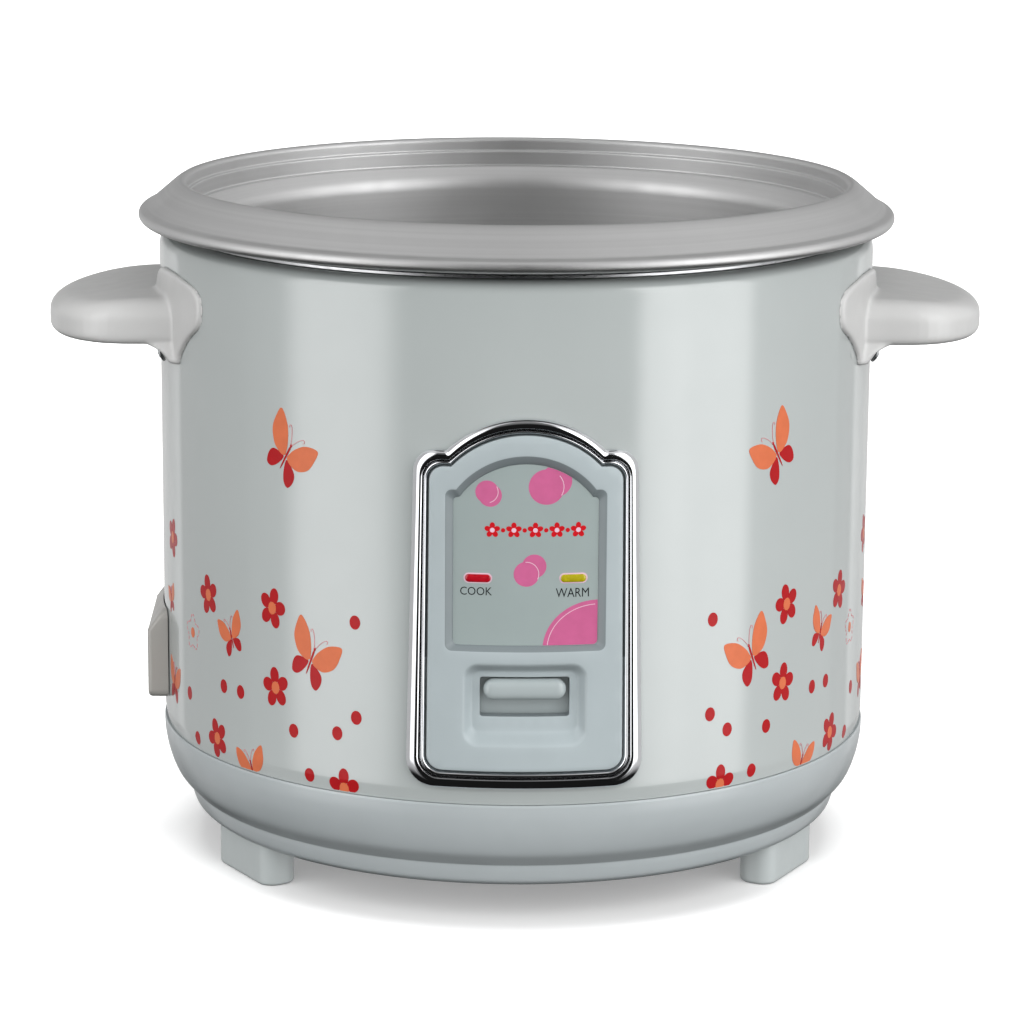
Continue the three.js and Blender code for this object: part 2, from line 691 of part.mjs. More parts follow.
function sensorCap() {
  const { outer, inner, bottom } = CAP;
  const top = PLATE_TOP_Z;
  const cup = turned([
    [0, top - 1.5], [inner, top - 1.5], [inner, bottom], [outer, bottom], [outer, top - 1], [outer - 1, top],
    [0, top],
  ], 18);
  return named('sensor_cap', cup, aluminium);
}

function ferriteCore() {
  return named('ferrite_core', disc(10.5, 90.5, PLATE_TOP_Z - 1.5 - GAP, 18), ferrite);
}

function sensorSleeve() {
  const { inner, outer, bottom, top, flange } = SLEEVE;
  const flangeTop = LINER_FLOOR_Z - GAP;
  const sleeve = ring([
    [3, bottom], [outer, bottom], [outer, flangeTop - 1.5], [flange, flangeTop - 1.5], [flange, flangeTop],
    [outer, flangeTop], [outer, top], [inner, top], [inner, bottom + 1.5], [3, bottom + 1.5],
  ], 18);
  return named('sensor_sleeve', sleeve, sheetSteel);
}

function sensorSpring() {
  const low = LINER_FLOOR_Z;
  return named('sensor_spring', coilSpring(14.4, 0.6, low, PLATE_TOP_Z - 1.5 - GAP, 4), steel);
}

function magnetAssembly() {
  const { radius, bottom, top } = MAGNET;
  const cup = turned([
    [0, bottom - 1.2], [radius + 1.1, bottom - 1.2], [radius + 1.1, top - 0.4], [radius + GAP, top - 0.4],
    [radius + GAP, bottom - GAP], [0, bottom - GAP],
  ], 16);
  const collar = tube(ROD.radius + GAP, COLLAR.radius, COLLAR.bottom, COLLAR.bottom + COLLAR.height, 16);
  return [
    named('magnet_cup', cup, steel),
    named('magnet', disc(radius, bottom, top, 16), ferrite),
    named('magnet_rod', disc(ROD.radius, ROD.bottom, ROD.top), steel),
    named('rod_collar', collar, steel),
  ];
}

function magnetSpring() {
  const low = COLLAR.bottom + COLLAR.height + GAP;
  return named('magnet_spring', coilSpring(4.2, 0.5, low, SLEEVE.bottom - GAP, 5), steel);
}

// ---- Electrics -------------------------------------------------------------------------------

function inletScrewPlaces() {
  return [-20, 20].map((y) => ({ y, z: INLET.z }));
}

function inletPinPlaces() {
  return { inlet_pin_live: [-7, 62], inlet_pin_neutral: [7, 62], inlet_pin_earth: [0, 66] };
}

function inletHousing() {
  const { face, half, low, high, bevel, z } = INLET;
  const side = polygon([[face, low], [face, high], [-119, bevel], [-100, bevel], [-100, low]]);
  const flange = toSolid(extruded(side, 2 * half).rotateX(Math.PI / 2)).translate(0, half, 0)
    .subtract(disc(SHELL_RADIUS + GAP, 30, 100, PANEL_ROUND));
  const body = block([-122, -15, z - 10], [-98, 15, z + 10]);
  const mouth = roundedRectangle(-SOCKET.half, z - SOCKET.halfHeight, SOCKET.half, z + SOCKET.halfHeight, 3);
  const socket = sidePrism(mouth, SOCKET.depth + 2).translate(face - 2, 0, 0);
  let housing = flange.add(body).subtract(socket);
  Object.values(inletPinPlaces()).forEach(([y, pinZ]) => {
    housing = housing.subtract(block([-130, y - 1.3, pinZ - 2.3], [-90, y + 1.3, pinZ + 2.3]));
  });
  inletScrewPlaces().forEach((place) => {
    housing = housing.subtract(bar([-130, place.y, place.z], [-100, place.y, place.z], 1.9));
    housing = housing.subtract(bar([-130, place.y, place.z], [face + 1.4, place.y, place.z], 3.3));
  });
  return named('inlet_housing', housing, inletPlastic);
}

function inletPins() {
  return Object.entries(inletPinPlaces()).map(([name, [y, z]]) => {
    const pin = named(name, block([-121, -1, -2], [-92, 1, 2]), brass);
    pin.position.set(0, y, z);
    return pin;
  });
}

function inletScrews() {
  return inletScrewPlaces().map(({ y, z }, i) => {
    const piece = named(`inlet_screw_${i + 1}`, screw(1.5, 10, 2.9, 1.4), steel);
    piece.rotation.y = -Math.PI / 2;
    piece.position.set(INLET.face + 1.4 - GAP + 10, y, z);
    return piece;
  });
}

function terminalBlock() {
  const top = LINER_FLOOR_Z - GAP;
  let solid = block([-22, 80, top - 8], [22, 94, top]);
  [-20, -6.5, 7].forEach((x) => {
    solid = solid.add(block([x, 81.5, top - 13], [x + 13, 92.5, top - 7]));
  });
  return named('terminal_block', solid, ceramic);
}

function thermalFuse() {
  return named('thermal_fuse', bar([45, -12, 81.2], [45, 12, 81.2], 2.3), ceramic);
}

function wires() {
  const supply = [[-90, 7, 62], [-84, 14, 56], [-70, 40, 50], [-46, 66, 55], [-28, 79, 64], [-14, 87, 69]];
  const lamp = [
    [20, -111.8, 110], [25, -111.5, 98], [30, -108, 80], [32, -98, 66], [24, -80, 58], [12, -62, 64],
    [6, -50, 76],
  ];
  const routes = { supply_wire: supply, lamp_wire: lamp };
  return Object.entries(routes).map(([name, points]) => {
    const path = new THREE.CatmullRomCurve3(points.map((point) => new THREE.Vector3(...point)));
    return named(name, wireAlong(path, 1.1, 6, 16), wireSleeve);
  });
}

// ---- Assembly --------------------------------------------------------------------------------

function assembly(name, ...pieces) {
  const group = new THREE.Group();
  group.name = name;
  group.add(...pieces.flat());
  return group;
}

const riceCooker = new THREE.Group();
riceCooker.add(
  assembly('drum', bodyShell(), innerLiner(), warmHeater(), handles()),
  assembly('base', baseBowl(), bottomPlate(), bottomScrews(), feet()),
  assembly('panel', panelFrame(), panelPlate(), labelPlate(), lamps(), lampHolder()),
  assembly('switch', leverKnob(), leverArm(), leverBracket(), leverPin(), microswitch(), switchPlunger()),
  assembly('heater', heatingPlate(), elementTerminals(), plateLegs()),
  assembly('sensor', sensorCap(), ferriteCore(), sensorSleeve(), sensorSpring()),
  assembly('magnet_lift', magnetAssembly(), magnetSpring()),
  assembly('electrics', inletHousing(), inletPins(), inletScrews(), terminalBlock(), thermalFuse(), wires()),
  cookingPan(),
);

export default riceCooker;
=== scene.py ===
import json
import math

import bmesh
import bpy
import numpy as np
from mathutils import Matrix, Vector
from mathutils.geometry import delaunay_2d_cdt

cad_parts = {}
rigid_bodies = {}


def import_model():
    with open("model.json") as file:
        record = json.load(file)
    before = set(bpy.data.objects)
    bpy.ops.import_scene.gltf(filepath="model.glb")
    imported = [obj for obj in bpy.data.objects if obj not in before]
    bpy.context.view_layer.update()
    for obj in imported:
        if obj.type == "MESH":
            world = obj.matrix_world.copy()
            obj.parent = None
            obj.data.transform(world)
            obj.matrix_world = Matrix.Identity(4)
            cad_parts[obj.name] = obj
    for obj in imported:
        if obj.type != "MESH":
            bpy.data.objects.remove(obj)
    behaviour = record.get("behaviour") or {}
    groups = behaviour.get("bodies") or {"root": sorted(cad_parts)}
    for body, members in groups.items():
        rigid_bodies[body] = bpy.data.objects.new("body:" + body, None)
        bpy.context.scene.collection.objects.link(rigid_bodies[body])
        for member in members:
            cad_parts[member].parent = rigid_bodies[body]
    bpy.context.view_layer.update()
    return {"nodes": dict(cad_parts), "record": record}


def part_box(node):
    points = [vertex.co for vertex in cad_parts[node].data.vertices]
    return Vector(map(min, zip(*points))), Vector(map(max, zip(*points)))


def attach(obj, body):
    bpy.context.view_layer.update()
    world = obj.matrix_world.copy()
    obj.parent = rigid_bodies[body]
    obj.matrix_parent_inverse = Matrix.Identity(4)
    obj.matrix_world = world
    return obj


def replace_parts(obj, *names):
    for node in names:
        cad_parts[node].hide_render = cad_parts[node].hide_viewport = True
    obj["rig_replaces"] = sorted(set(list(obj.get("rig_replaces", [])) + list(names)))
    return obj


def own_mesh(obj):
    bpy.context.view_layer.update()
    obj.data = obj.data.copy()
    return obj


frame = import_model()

MM = 0.001


# ---- Sizes from the frame ----------------------------------------------------------------------


def low(node):
    return [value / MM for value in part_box(node)[0]]


def high(node):
    return [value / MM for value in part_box(node)[1]]


X, Y, Z = 0, 1, 2
GAP = 0.3  # between neighbouring pieces
TURNS = 192  # sides of the large turned pieces

RIM_Z = high("cooking_pan")[Z]
RIM_RADIUS = high("cooking_pan")[X]
PAN_BOTTOM_Z = low("cooking_pan")[Z]
SHELL_RADIUS = high("body_shell")[X]
SHELL_TOP_Z = high("body_shell")[Z]
SEAM_Z = low("body_shell")[Z] - GAP
BASE_Z = low("base_bowl")[Z]
LINER_FLOOR_Z = low("inner_liner")[Z]
LINER_TOP_Z = high("inner_liner")[Z]
PLATE_TOP_Z = high("heating_plate")[Z]
PLATE_RADIUS = high("heating_plate")[X]
LENS_Z = (low("cook_lamp_lens")[Z] + high("cook_lamp_lens")[Z]) / 2
GRIP_TIP = high("handle_right")[X]

# The panel, whose outlines are given as half widths and heights seen from the front.
FRAME_OUTER = dict(
    half=35.1, half_low=37.3, bottom=49.9, corner=9, shoulder=158.5, bend=7, arch_z=133.7, arch=35)
FRAME_INNER = dict(
    half=30.5, half_low=31.2, bottom=55.5, corner=5, shoulder=153.9, bend=5, arch_z=132.1, arch=32)
WINDOW = dict(half=25, half_low=25, bottom=94.9, corner=2, shoulder=146.2, bend=2, arch_z=130.1, arch=27)
LABEL = dict(
    half=22.7, half_low=22.7, bottom=96.4, corner=1.5, shoulder=143.7, bend=1.5, arch_z=128.9, arch=25.5)
FASCIA_RADIUS = 122.6
FRAME_BACK = SHELL_RADIUS + GAP
LABEL_RADIUS = 120.6
LENS_X = 14.9
RECESS = dict(half=19.8, low=63.6, high=91.2, corner=5)
RECESS_FLOOR = dict(half=16.2, low=68.4, high=87, corner=2.2)
RECESS_RADIUS = 118.8
SLOT = dict(half=14, low=73, high=85.7, corner=0.8)
SLOT_BACK = 115

# The switch, the base, the handles, the screws and the printed pattern.
KNOB = dict(half=13, z=82, half_height=3.3, front=-121, back=-116, end=3.2)
PIVOT_Y = -70
PIVOT_Z = 76
SHIELD = dict(outer=43.3, inner=42.1, half=15.5, start=-7, end=21)
SEAM_GAP = 0.14
HEM_Z = 48.4
HEM_LEAN = 0.13
FOOT = dict(face=107, thickness=13, length=36, corner=5.5)
FOOT_ANGLES = {"foot_front_left": -60, "foot_front_right": 60, "foot_back": 180}
GRIP = dict(low=177.7, high=190.1, half=43, straight=128, shoulder=147, tip_half=24)
POCKET = dict(start=126.5, end=147, half=37, corner=9, ceiling=186.5)
FLANGE_RADIUS = 121.4
HANDLE_BACK = SHELL_RADIUS - 1  # the handle is formed a little inside the drum, then pressed out to it
HANDLE_SCREW = dict(x=116.8, y=41, z=174.9)
INLET_SCREW = dict(y=20, z=64)
BOTTOM_SCREW_CIRCLE = 92.5
PLATE_SCREW_CIRCLE = 75
PATTERN_CENTRE = 1.8  # degrees from the front to the middle of the printed pattern
STRETCH = 1.22  # the print is taller than it is wide

# The camera in front of the panel, above it and a little to its left; angles in degrees.
CAMERA = dict(place=(-37.9, -1248.2, 391), lens=131.12, heading=-1.700215, down=12.58, roll=0.39)


# ---- Outlines ----------------------------------------------------------------------------------


def arc(x, y, radius, start, end, steps):
    """Points on an arc, with angles in degrees from the first axis."""
    angles = [math.radians(start + (end - start) * i / steps) for i in range(steps + 1)]
    return [(x + radius * math.cos(a), y + radius * math.sin(a)) for a in angles]


def line(a, b, steps):
    """Points on a straight line, without its first and last."""
    return [tuple(p + (q - p) * i / steps for p, q in zip(a, b)) for i in range(1, steps)]


def joined_arcs(arcs, straights):
    """A closed outline of arcs, with a straight of so many steps after each."""
    stretches = [arc(*values) for values in arcs]
    points = []
    for i, stretch in enumerate(stretches):
        following = stretches[(i + 1) % len(stretches)]
        points += stretch + line(stretch[-1], following[0], straights[i])
    return points


def arch_outline(half, half_low, bottom, corner, shoulder, bend, arch_z, arch):
    """The panel's outline: round lower corners, round shoulders and an arch between them."""
    notch = math.degrees(math.asin((shoulder - arch_z) / arch))
    return joined_arcs([
        (half_low - corner, bottom + corner, corner, -90, 0, 10),
        (half - bend, shoulder - bend, bend, 0, 90, 8),
        (0, arch_z, arch, notch, 180 - notch, 64),
        (bend - half, shoulder - bend, bend, 90, 180, 8),
        (corner - half_low, bottom + corner, corner, 180, 270, 10),
    ], [14, 3, 3, 14, 26])


def box_outline(half, low, high, corner, x=0, steps=8, straights=(12, 18, 12, 18)):
    """A rectangle with round corners, about an upright centre line."""
    return joined_arcs([
        (x + half - corner, low + corner, corner, -90, 0, steps),
        (x + half - corner, high - corner, corner, 0, 90, steps),
        (x - half + corner, high - corner, corner, 90, 180, steps),
        (x - half + corner, low + corner, corner, 180, 270, steps),
    ], straights)


def grown(outline, by):
    """The same outline moved outwards by a distance on every side."""
    moved = {}
    for key, value in outline.items():
        if key in ("bottom", "low"):
            moved[key] = value - by
        elif key in ("corner", "bend"):
            moved[key] = max(value + by, 0.3)
        elif key == "arch_z":
            moved[key] = value
        else:
            moved[key] = value + by
    return moved


def between(a, b, share):
    return {key: a[key] + (b[key] - a[key]) * share for key in a}


def spline(points, steps, closed=False):
    """A smooth curve through the points (Catmull-Rom)."""
    count = len(points)
    result = []
    for i in range(count if closed else count - 1):
        if closed:
            p = [points[(i + k) % count] for k in (-1, 0, 1, 2)]
        else:
            p = [points[min(max(i + k, 0), count - 1)] for k in (-1, 0, 1, 2)]
        for step in range(steps):
            t = step / steps
            result.append(tuple(
                0.5 * (2 * b + (c - a) * t + (2 * a - 5 * b + 4 * c - d) * t ** 2
                       + (3 * b - a - 3 * c + d) * t ** 3)
                for a, b, c, d in zip(*p)))
    if not closed:
        result.append(tuple(points[-1]))
    return result


def eased(corners, steps=6, closed=False):
    """A profile whose corners (r, z, fillet) are rounded; a fillet of 0 stays sharp."""
    result = []
    count = len(corners)
    for i, (r, z, fillet) in enumerate(corners):
        corner = Vector((r, z))
        if fillet == 0 or (not closed and i in (0, count - 1)):
            result.append((r, z))
            continue
        before = Vector(corners[i - 1][:2]) - corner
        after = Vector(corners[(i + 1) % count][:2]) - corner
        reach = min(fillet, 0.48 * before.length, 0.48 * after.length)
        start = corner + before.normalized() * reach
        end = corner + after.normalized() * reach
        for step in range(steps + 1):
            t = step / steps
            result.append(tuple(start * (1 - t) ** 2 + corner * 2 * t * (1 - t) + end * t ** 2))
    return result


def smooth_step(t):
    return t * t * (3 - 2 * t)


# ---- Placing points ----------------------------------------------------------------------------


def from_front(radius):
    """Puts a point seen from the front (x, z) on a cylinder round the drum's axis."""
    return lambda x, z: (x, -math.sqrt(radius ** 2 - x ** 2), z)


def drum_radius(z):
    """The painted drum's radius, which leans in at its lower hem."""
    return SHELL_RADIUS - max(HEM_Z - z, 0) * HEM_LEAN


def printed_on_drum(lift):
    """Puts a point of the unrolled drum (arc length from the front, z) on the paint."""
    def place(along, z):
        angle = along / SHELL_RADIUS
        radius = drum_radius(z) + lift
        return (radius * math.sin(angle), -radius * math.cos(angle), z)
    return place


def round_axis(radius, degrees, z=0):
    """A point about the drum's axis, with the angle from the front towards +X."""
    angle = math.radians(degrees)
    return (radius * math.sin(angle), -radius * math.cos(angle), z)


# ---- Meshes ------------------------------------------------------------------------------------


def inside(outline, points):
    """Which of the points lie inside a closed outline."""
    ring = np.array(outline)
    after = np.roll(ring, -1, axis=0)
    x, y = points[:, 0:1], points[:, 1:2]
    rise = after[:, 1] - ring[:, 1]
    crossing = (ring[:, 1] > y) != (after[:, 1] > y)
    at = ring[:, 0] + (y - ring[:, 1]) * (after[:, 0] - ring[:, 0]) / np.where(rise == 0, 1, rise)
    return np.count_nonzero(crossing & (x < at), axis=1) % 2 == 1


def within(outer, *holes):
    """A test for the region inside one outline and outside the others."""
    def test(points):
        kept = inside(outer, points)
        for hole in holes:
            kept &= ~inside(hole, points)
        return kept
    return test


def triangulated(outlines, keep, spacing):
    """Triangles of the region that keep() accepts, with inner points so that it can be bent."""
    points = []
    edges = []
    for outline in outlines:
        first = len(points)
        points += [tuple(point) for point in outline]
        edges += [(first + i, first + (i + 1) % len(outline)) for i in range(len(outline))]
    border = np.array(points)
    lowest, highest = border.min(axis=0), border.max(axis=0)
    xs = np.arange(lowest[0] + spacing / 2, highest[0], spacing)
    ys = np.arange(lowest[1] + spacing / 2, highest[1], spacing)
    grid = np.array([(x + (row % 2) * spacing / 2, y) for row, y in enumerate(ys) for x in xs])
    if len(grid):
        apart = np.sqrt(((grid[:, None, :] - border[None, :, :]) ** 2).sum(axis=2)).min(axis=1)
        grid = grid[apart > 0.5 * spacing]
    coordinates = [Vector(p) for p in points] + [Vector(p) for p in grid]
    spots, _, faces, *_ = delaunay_2d_cdt(coordinates, edges, [], 0, 1e-5)
    flat = np.array([tuple(spot) for spot in spots])
    corners = np.array([face for face in faces if len(face) == 3])
    kept = keep(flat[corners].mean(axis=1))
    settle_slivers(flat, corners, kept)
    used, renumbered = np.unique(corners[kept], return_inverse=True)
    return [tuple(p) for p in flat[used]], [tuple(t) for t in renumbered.reshape(-1, 3)]


def settle_slivers(flat, corners, kept):
    """A triangle of almost no height lies in the same region as the one across its longest side."""
    sharing = {}
    longest = {}
    for number, triangle in enumerate(corners):
        sides = [(triangle[k], triangle[(k + 1) % 3]) for k in range(3)]
        lengths = [math.dist(flat[a], flat[b]) for a, b in sides]
        for a, b in sides:
            sharing.setdefault(frozenset((a, b)), []).append(number)
        (ax, ay), (bx, by), (cx, cy) = flat[triangle]
        double_area = abs((bx - ax) * (cy - ay) - (cx - ax) * (by - ay))
        if double_area < 1e-4 * max(lengths) ** 2:
            longest[number] = frozenset(sides[lengths.index(max(lengths))])
    for _ in range(4):
        for number, side in longest.items():
            others = [other for other in sharing[side] if other != number]
            if others:
                kept[number] = kept[others[0]]


class Solid:
    """Points in millimetres and faces, gathered loop by loop."""

    def __init__(self):
        self.points = []
        self.faces = []

    def loop(self, points):
        first = len(self.points)
        self.points.extend(tuple(point) for point in points)
        return list(range(first, len(self.points)))

    def skin(self, a, b):
        """Faces between two closed loops; a loop of one point is a tip."""
        count = max(len(a), len(b))
        for i in range(count):
            j = (i + 1) % count
            if len(a) == 1:
                self.faces.append((a[0], b[j], b[i]))
            elif len(b) == 1:
                self.faces.append((a[i], a[j], b[0]))
            else:
                self.faces.append((a[i], a[j], b[j], b[i]))

    def skins(self, loops):
        numbered = [self.loop(points) for points in loops]
        for a, b in zip(numbered, numbered[1:]):
            self.skin(a, b)
        return numbered

    def walls(self, steps):
        """A skin through outlines seen from the front, each on a cylinder of its own radius."""
        return self.skins([[from_front(radius)(*point) for point in outline] for outline, radius in steps])

    def fill(self, outlines, place, spacing=2.2):
        """The region inside the first outline and outside the others, put in space by place()."""
        points, triangles = triangulated(outlines, within(*outlines), spacing)
        ids = self.loop([place(*point) for point in points])
        self.faces.extend(tuple(ids[i] for i in triangle) for triangle in triangles)

    def slab(self, points, faces, front, back):
        """A closed thin layer over a flat mesh, from its front surface to its back one."""
        upper = self.loop([front(*point) for point in points])
        lower = self.loop([back(*point) for point in points])
        sides = {}
        for face in faces:
            self.faces.append(tuple(upper[i] for i in face))
            self.faces.append(tuple(lower[i] for i in reversed(face)))
            for a, b in zip(face, face[1:] + face[:1]):
                sides[(a, b)] = True
        for a, b in sides:
            if (b, a) not in sides:
                self.faces.append((upper[b], upper[a], lower[a], lower[b]))

    def turned(self, profile, segments=TURNS):
        """A profile turned about the upright axis. It runs from the axis to the axis, or closes."""
        angles = [2 * math.pi * i / segments for i in range(segments)]
        loops = []
        for r, z in profile:
            if r < 1e-6:
                loops.append(self.loop([(0, 0, z)]))
            else:
                loops.append(self.loop([(r * math.cos(a), r * math.sin(a), z) for a in angles]))
        for a, b in zip(loops, loops[1:]):
            self.skin(a, b)
        if profile[0][0] > 1e-6:
            self.skin(loops[-1], loops[0])
        return self

    def moved(self, matrix):
        self.points = [tuple(matrix @ Vector(point)) for point in self.points]
        return self


def smoothed(mesh, crease=35):
    """Smooth shading, sharp only where the mesh bends more than crease."""
    mesh.shade_smooth()
    mesh.set_sharp_from_angle(angle=math.radians(crease))
    return mesh


def to_mesh(name, solid, crease=35):
    """A welded mesh in metres with its faces pointing out."""
    mesh = bpy.data.meshes.new(name)
    mesh.from_pydata([[value * MM for value in point] for point in solid.points], [], solid.faces)
    work = bmesh.new()
    work.from_mesh(mesh)
    bmesh.ops.remove_doubles(work, verts=work.verts, dist=1e-7)
    bmesh.ops.dissolve_degenerate(work, dist=1e-8, edges=work.edges)
    bmesh.ops.recalc_face_normals(work, faces=work.faces)
    work.to_mesh(mesh)
    work.free()
    return smoothed(mesh, crease)


def linked(name, data):
    """An object in the scene that shows this data."""
    obj = bpy.data.objects.new(name, data)
    bpy.context.scene.collection.objects.link(obj)
    return obj


def add_piece(name, mesh, body, slot, replaces=(), look=None):
    """A piece of the object, which rides on a CAD body. Its look is its slot's own if none is given."""
    mesh.materials.clear()
    mesh.materials.append(look or LOOKS[slot])
    obj = linked(name, mesh)
    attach(obj, body)
    if replaces:
        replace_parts(obj, *replaces)
    return obj


def add_solid(name, solid, body, slot, replaces=(), look=None, crease=35):
    return add_piece(name, to_mesh(name, solid, crease), body, slot, replaces, look)


def evaluated(obj):
    """The object's mesh with its modifiers applied; the object itself is removed."""
    shown = obj.evaluated_get(bpy.context.evaluated_depsgraph_get())
    mesh = bpy.data.meshes.new_from_object(shown)
    bpy.data.objects.remove(obj)
    return mesh


def modified(obj, kind, **settings):
    change = obj.modifiers.new(kind.lower(), kind)
    for key, value in settings.items():
        setattr(change, key, value)


def melted(name, solid, voxel, smoothing):
    """Overlapping closed shapes fused into one moulding with soft inner corners."""
    obj = linked(name, to_mesh(name, solid))
    modified(obj, "REMESH", mode="VOXEL", voxel_size=voxel * MM, use_smooth_shade=True)
    modified(obj, "SMOOTH", factor=0.5, iterations=smoothing)
    mesh = evaluated(obj)
    mesh.shade_smooth()
    return mesh


# ---- Materials ---------------------------------------------------------------------------------


def new_node(tree, kind, wires=None, values=None, **settings):
    """A node with its settings, the values of its inputs and the sockets that are wired into them."""
    node = tree.nodes.new(kind)
    for key, value in settings.items():
        setattr(node, key, value)
    for key, value in (values or {}).items():
        node.inputs[key].default_value = value
    for key, socket in (wires or {}).items():
        tree.links.new(socket, node.inputs[key])
    return node


class Look:
    """A procedural material: colour, roughness and relief that vary over the object's own space."""

    def __init__(self, name, color, roughness, metallic=0.0, specular=0.5):
        self.material = bpy.data.materials.new(name)
        self.material.use_nodes = True
        self.shader = self.material.node_tree.nodes["Principled BSDF"]
        self.color = color
        self.set(Base_Color=(*color, 1), Roughness=roughness, Metallic=metallic,
                 Specular_IOR_Level=specular)
        self.space = self.node("ShaderNodeTexCoord").outputs["Object"]
        self.relief = None

    def node(self, kind, wires=None, values=None, **settings):
        return new_node(self.material.node_tree, kind, wires, values, **settings)

    def vectors(self, operation, *vectors, **values):
        """The node that does one operation on vectors."""
        return self.node("ShaderNodeVectorMath", dict(enumerate(vectors)), values, operation=operation)

    def set(self, **values):
        for key, value in values.items():
            self.shader.inputs[key.replace("_", " ")].default_value = value
        return self

    def wire(self, socket, entry):
        """Lets a node decide one of the shader's entries."""
        self.material.node_tree.links.new(socket, self.shader.inputs[entry])

    def stretched(self, scale):
        """Object space stretched by a scale along each axis."""
        return self.node("ShaderNodeMapping", {"Vector": self.space}, {"Scale": scale}).outputs["Vector"]

    def rings(self):
        """A space of radius, height and a little of the way round, for marks left by turning."""
        split = self.node("ShaderNodeSeparateXYZ", {0: self.space}).outputs
        flat = self.node("ShaderNodeCombineXYZ", {"X": split["X"], "Y": split["Y"]}).outputs[0]
        radius = self.vectors("LENGTH", flat).outputs["Value"]
        turn = self.vectors("NORMALIZE", flat).outputs[0]
        weak = self.vectors("SCALE", turn, Scale=MM).outputs[0]
        polar = self.node("ShaderNodeCombineXYZ", {"X": radius, "Z": split["Z"]}).outputs[0]
        return self.vectors("ADD", polar, weak).outputs[0]

    def noise(self, size, detail=2.0, space=None):
        """Noise whose patches are about size millimetres across."""
        return self.node("ShaderNodeTexNoise", {"Vector": space or self.space},
                         {"Scale": 1 / (size * MM), "Detail": detail}).outputs["Fac"]

    def ranged(self, source, low, high):
        """Noise, most of which lies between 0.35 and 0.65, spread from low to high."""
        return self.node("ShaderNodeMapRange", {"Value": source}, {
            "From Min": 0.35, "From Max": 0.65, "To Min": low, "To Max": high}).outputs["Result"]

    def mottled(self, source, change):
        """The colour moves between darker and lighter by a share of itself."""
        darker = (*(value * (1 - change) for value in self.color), 1)
        lighter = (*(min(value * (1 + change), 1) for value in self.color), 1)
        # Of the mix node's sockets, 0 is the share, 6 and 7 are the colours and 2 is the mixed colour.
        mix = self.node("ShaderNodeMix", {0: self.ranged(source, 0, 1)}, {6: darker, 7: lighter},
                        data_type="RGBA")
        self.wire(mix.outputs[2], "Base Color")

    def uneven(self, source, low, high):
        """Roughness between two values."""
        self.wire(self.ranged(source, low, high), "Roughness")

    def raised(self, source, depth):
        """Relief of so many millimetres, on top of what is there."""
        wires = {"Height": source}
        if self.relief:
            wires["Normal"] = self.relief
        bump = self.node("ShaderNodeBump", wires, {"Strength": 1, "Distance": depth * MM})
        self.relief = bump.outputs["Normal"]
        self.wire(self.relief, "Normal")


def painted(name, color):
    """Stoved gloss paint: a clear skin with faint orange peel over an even colour."""
    look = Look(name, color, 0.34)
    look.mottled(look.noise(38, 3), 0.012)
    look.uneven(look.noise(9), 0.31, 0.38)
    look.raised(look.noise(2.6, 2), 0.0016)
    return look.set(Coat_Weight=0.9, Coat_Roughness=0.07, Coat_IOR=1.7).material


def moulded(name, color, roughness, depth=0.002, gloss=0.0):
    """Moulded plastic: fine spark grain, flow marks and a slight change of sheen."""
    look = Look(name, color, roughness)
    look.mottled(look.noise(16, 4), 0.018)
    look.uneven(look.noise(6, 3), roughness - 0.04, roughness + 0.05)
    look.raised(look.noise(22, 1), 0.012)
    look.raised(look.noise(1.8, 1), depth)
    return look.set(Coat_Weight=gloss, Coat_Roughness=0.1).material


def turned_metal(name, color, roughness):
    """Spun or turned metal: fine rings about the axis and a cloudy sheen."""
    look = Look(name, color, roughness, metallic=1.0)
    rings = look.rings()
    look.mottled(look.noise(1.5, 3, rings), 0.03)
    look.uneven(look.noise(11, 4), roughness - 0.03, roughness + 0.03)
    look.raised(look.noise(0.5, 2, rings), 0.0018)
    return look.set(Anisotropic=0.25).material


def plated(name, color):
    """Bright plating: nearly a mirror, with a faint waviness and hair scratches."""
    look = Look(name, color, 0.06, metallic=1.0)
    look.mottled(look.noise(7, 3), 0.02)
    look.uneven(look.noise(1.4, 4), 0.045, 0.1)
    look.raised(look.noise(5, 1), 0.004)
    return look.material


def rolled_metal(name, color, roughness, along=(1, 1, 14)):
    """Sheet or wire steel: streaks along the rolling direction."""
    look = Look(name, color, roughness, metallic=1.0)
    streaks = look.stretched(along)
    look.mottled(look.noise(6, 4, streaks), 0.06)
    look.uneven(look.noise(3, 4, streaks), roughness - 0.08, roughness + 0.1)
    look.raised(look.noise(1.2, 3, streaks), 0.003)
    return look.material


def coarse(name, color, roughness, grain, depth):
    """Sintered or cast matter with an open grain."""
    look = Look(name, color, roughness)
    look.mottled(look.noise(grain * 2, 5), 0.12)
    look.uneven(look.noise(grain, 3), roughness - 0.08, roughness + 0.08)
    look.raised(look.noise(grain, 5), depth)
    return look.material


def cast_metal(name, color):
    """Die-cast aluminium with a turned face."""
    look = Look(name, color, 0.42, metallic=1.0)
    rings = look.rings()
    look.mottled(look.noise(3.2, 5), 0.06)
    look.uneven(look.noise(5, 4), 0.36, 0.5)
    look.raised(look.noise(0.7, 2, rings), 0.006)
    look.raised(look.noise(0.5, 4), 0.004)
    return look.material


def lens(name, color, glow):
    """A tinted lens with a fine inner texture and a little of its own light."""
    look = Look(name, color, 0.16)
    look.mottled(look.noise(1.1, 3), 0.14)
    look.uneven(look.noise(0.6), 0.12, 0.22)
    look.raised(look.noise(0.8, 2), 0.006)
    look.set(Emission_Color=(*color, 1), Emission_Strength=glow, Coat_Weight=0.6, Coat_Roughness=0.05)
    return look.material


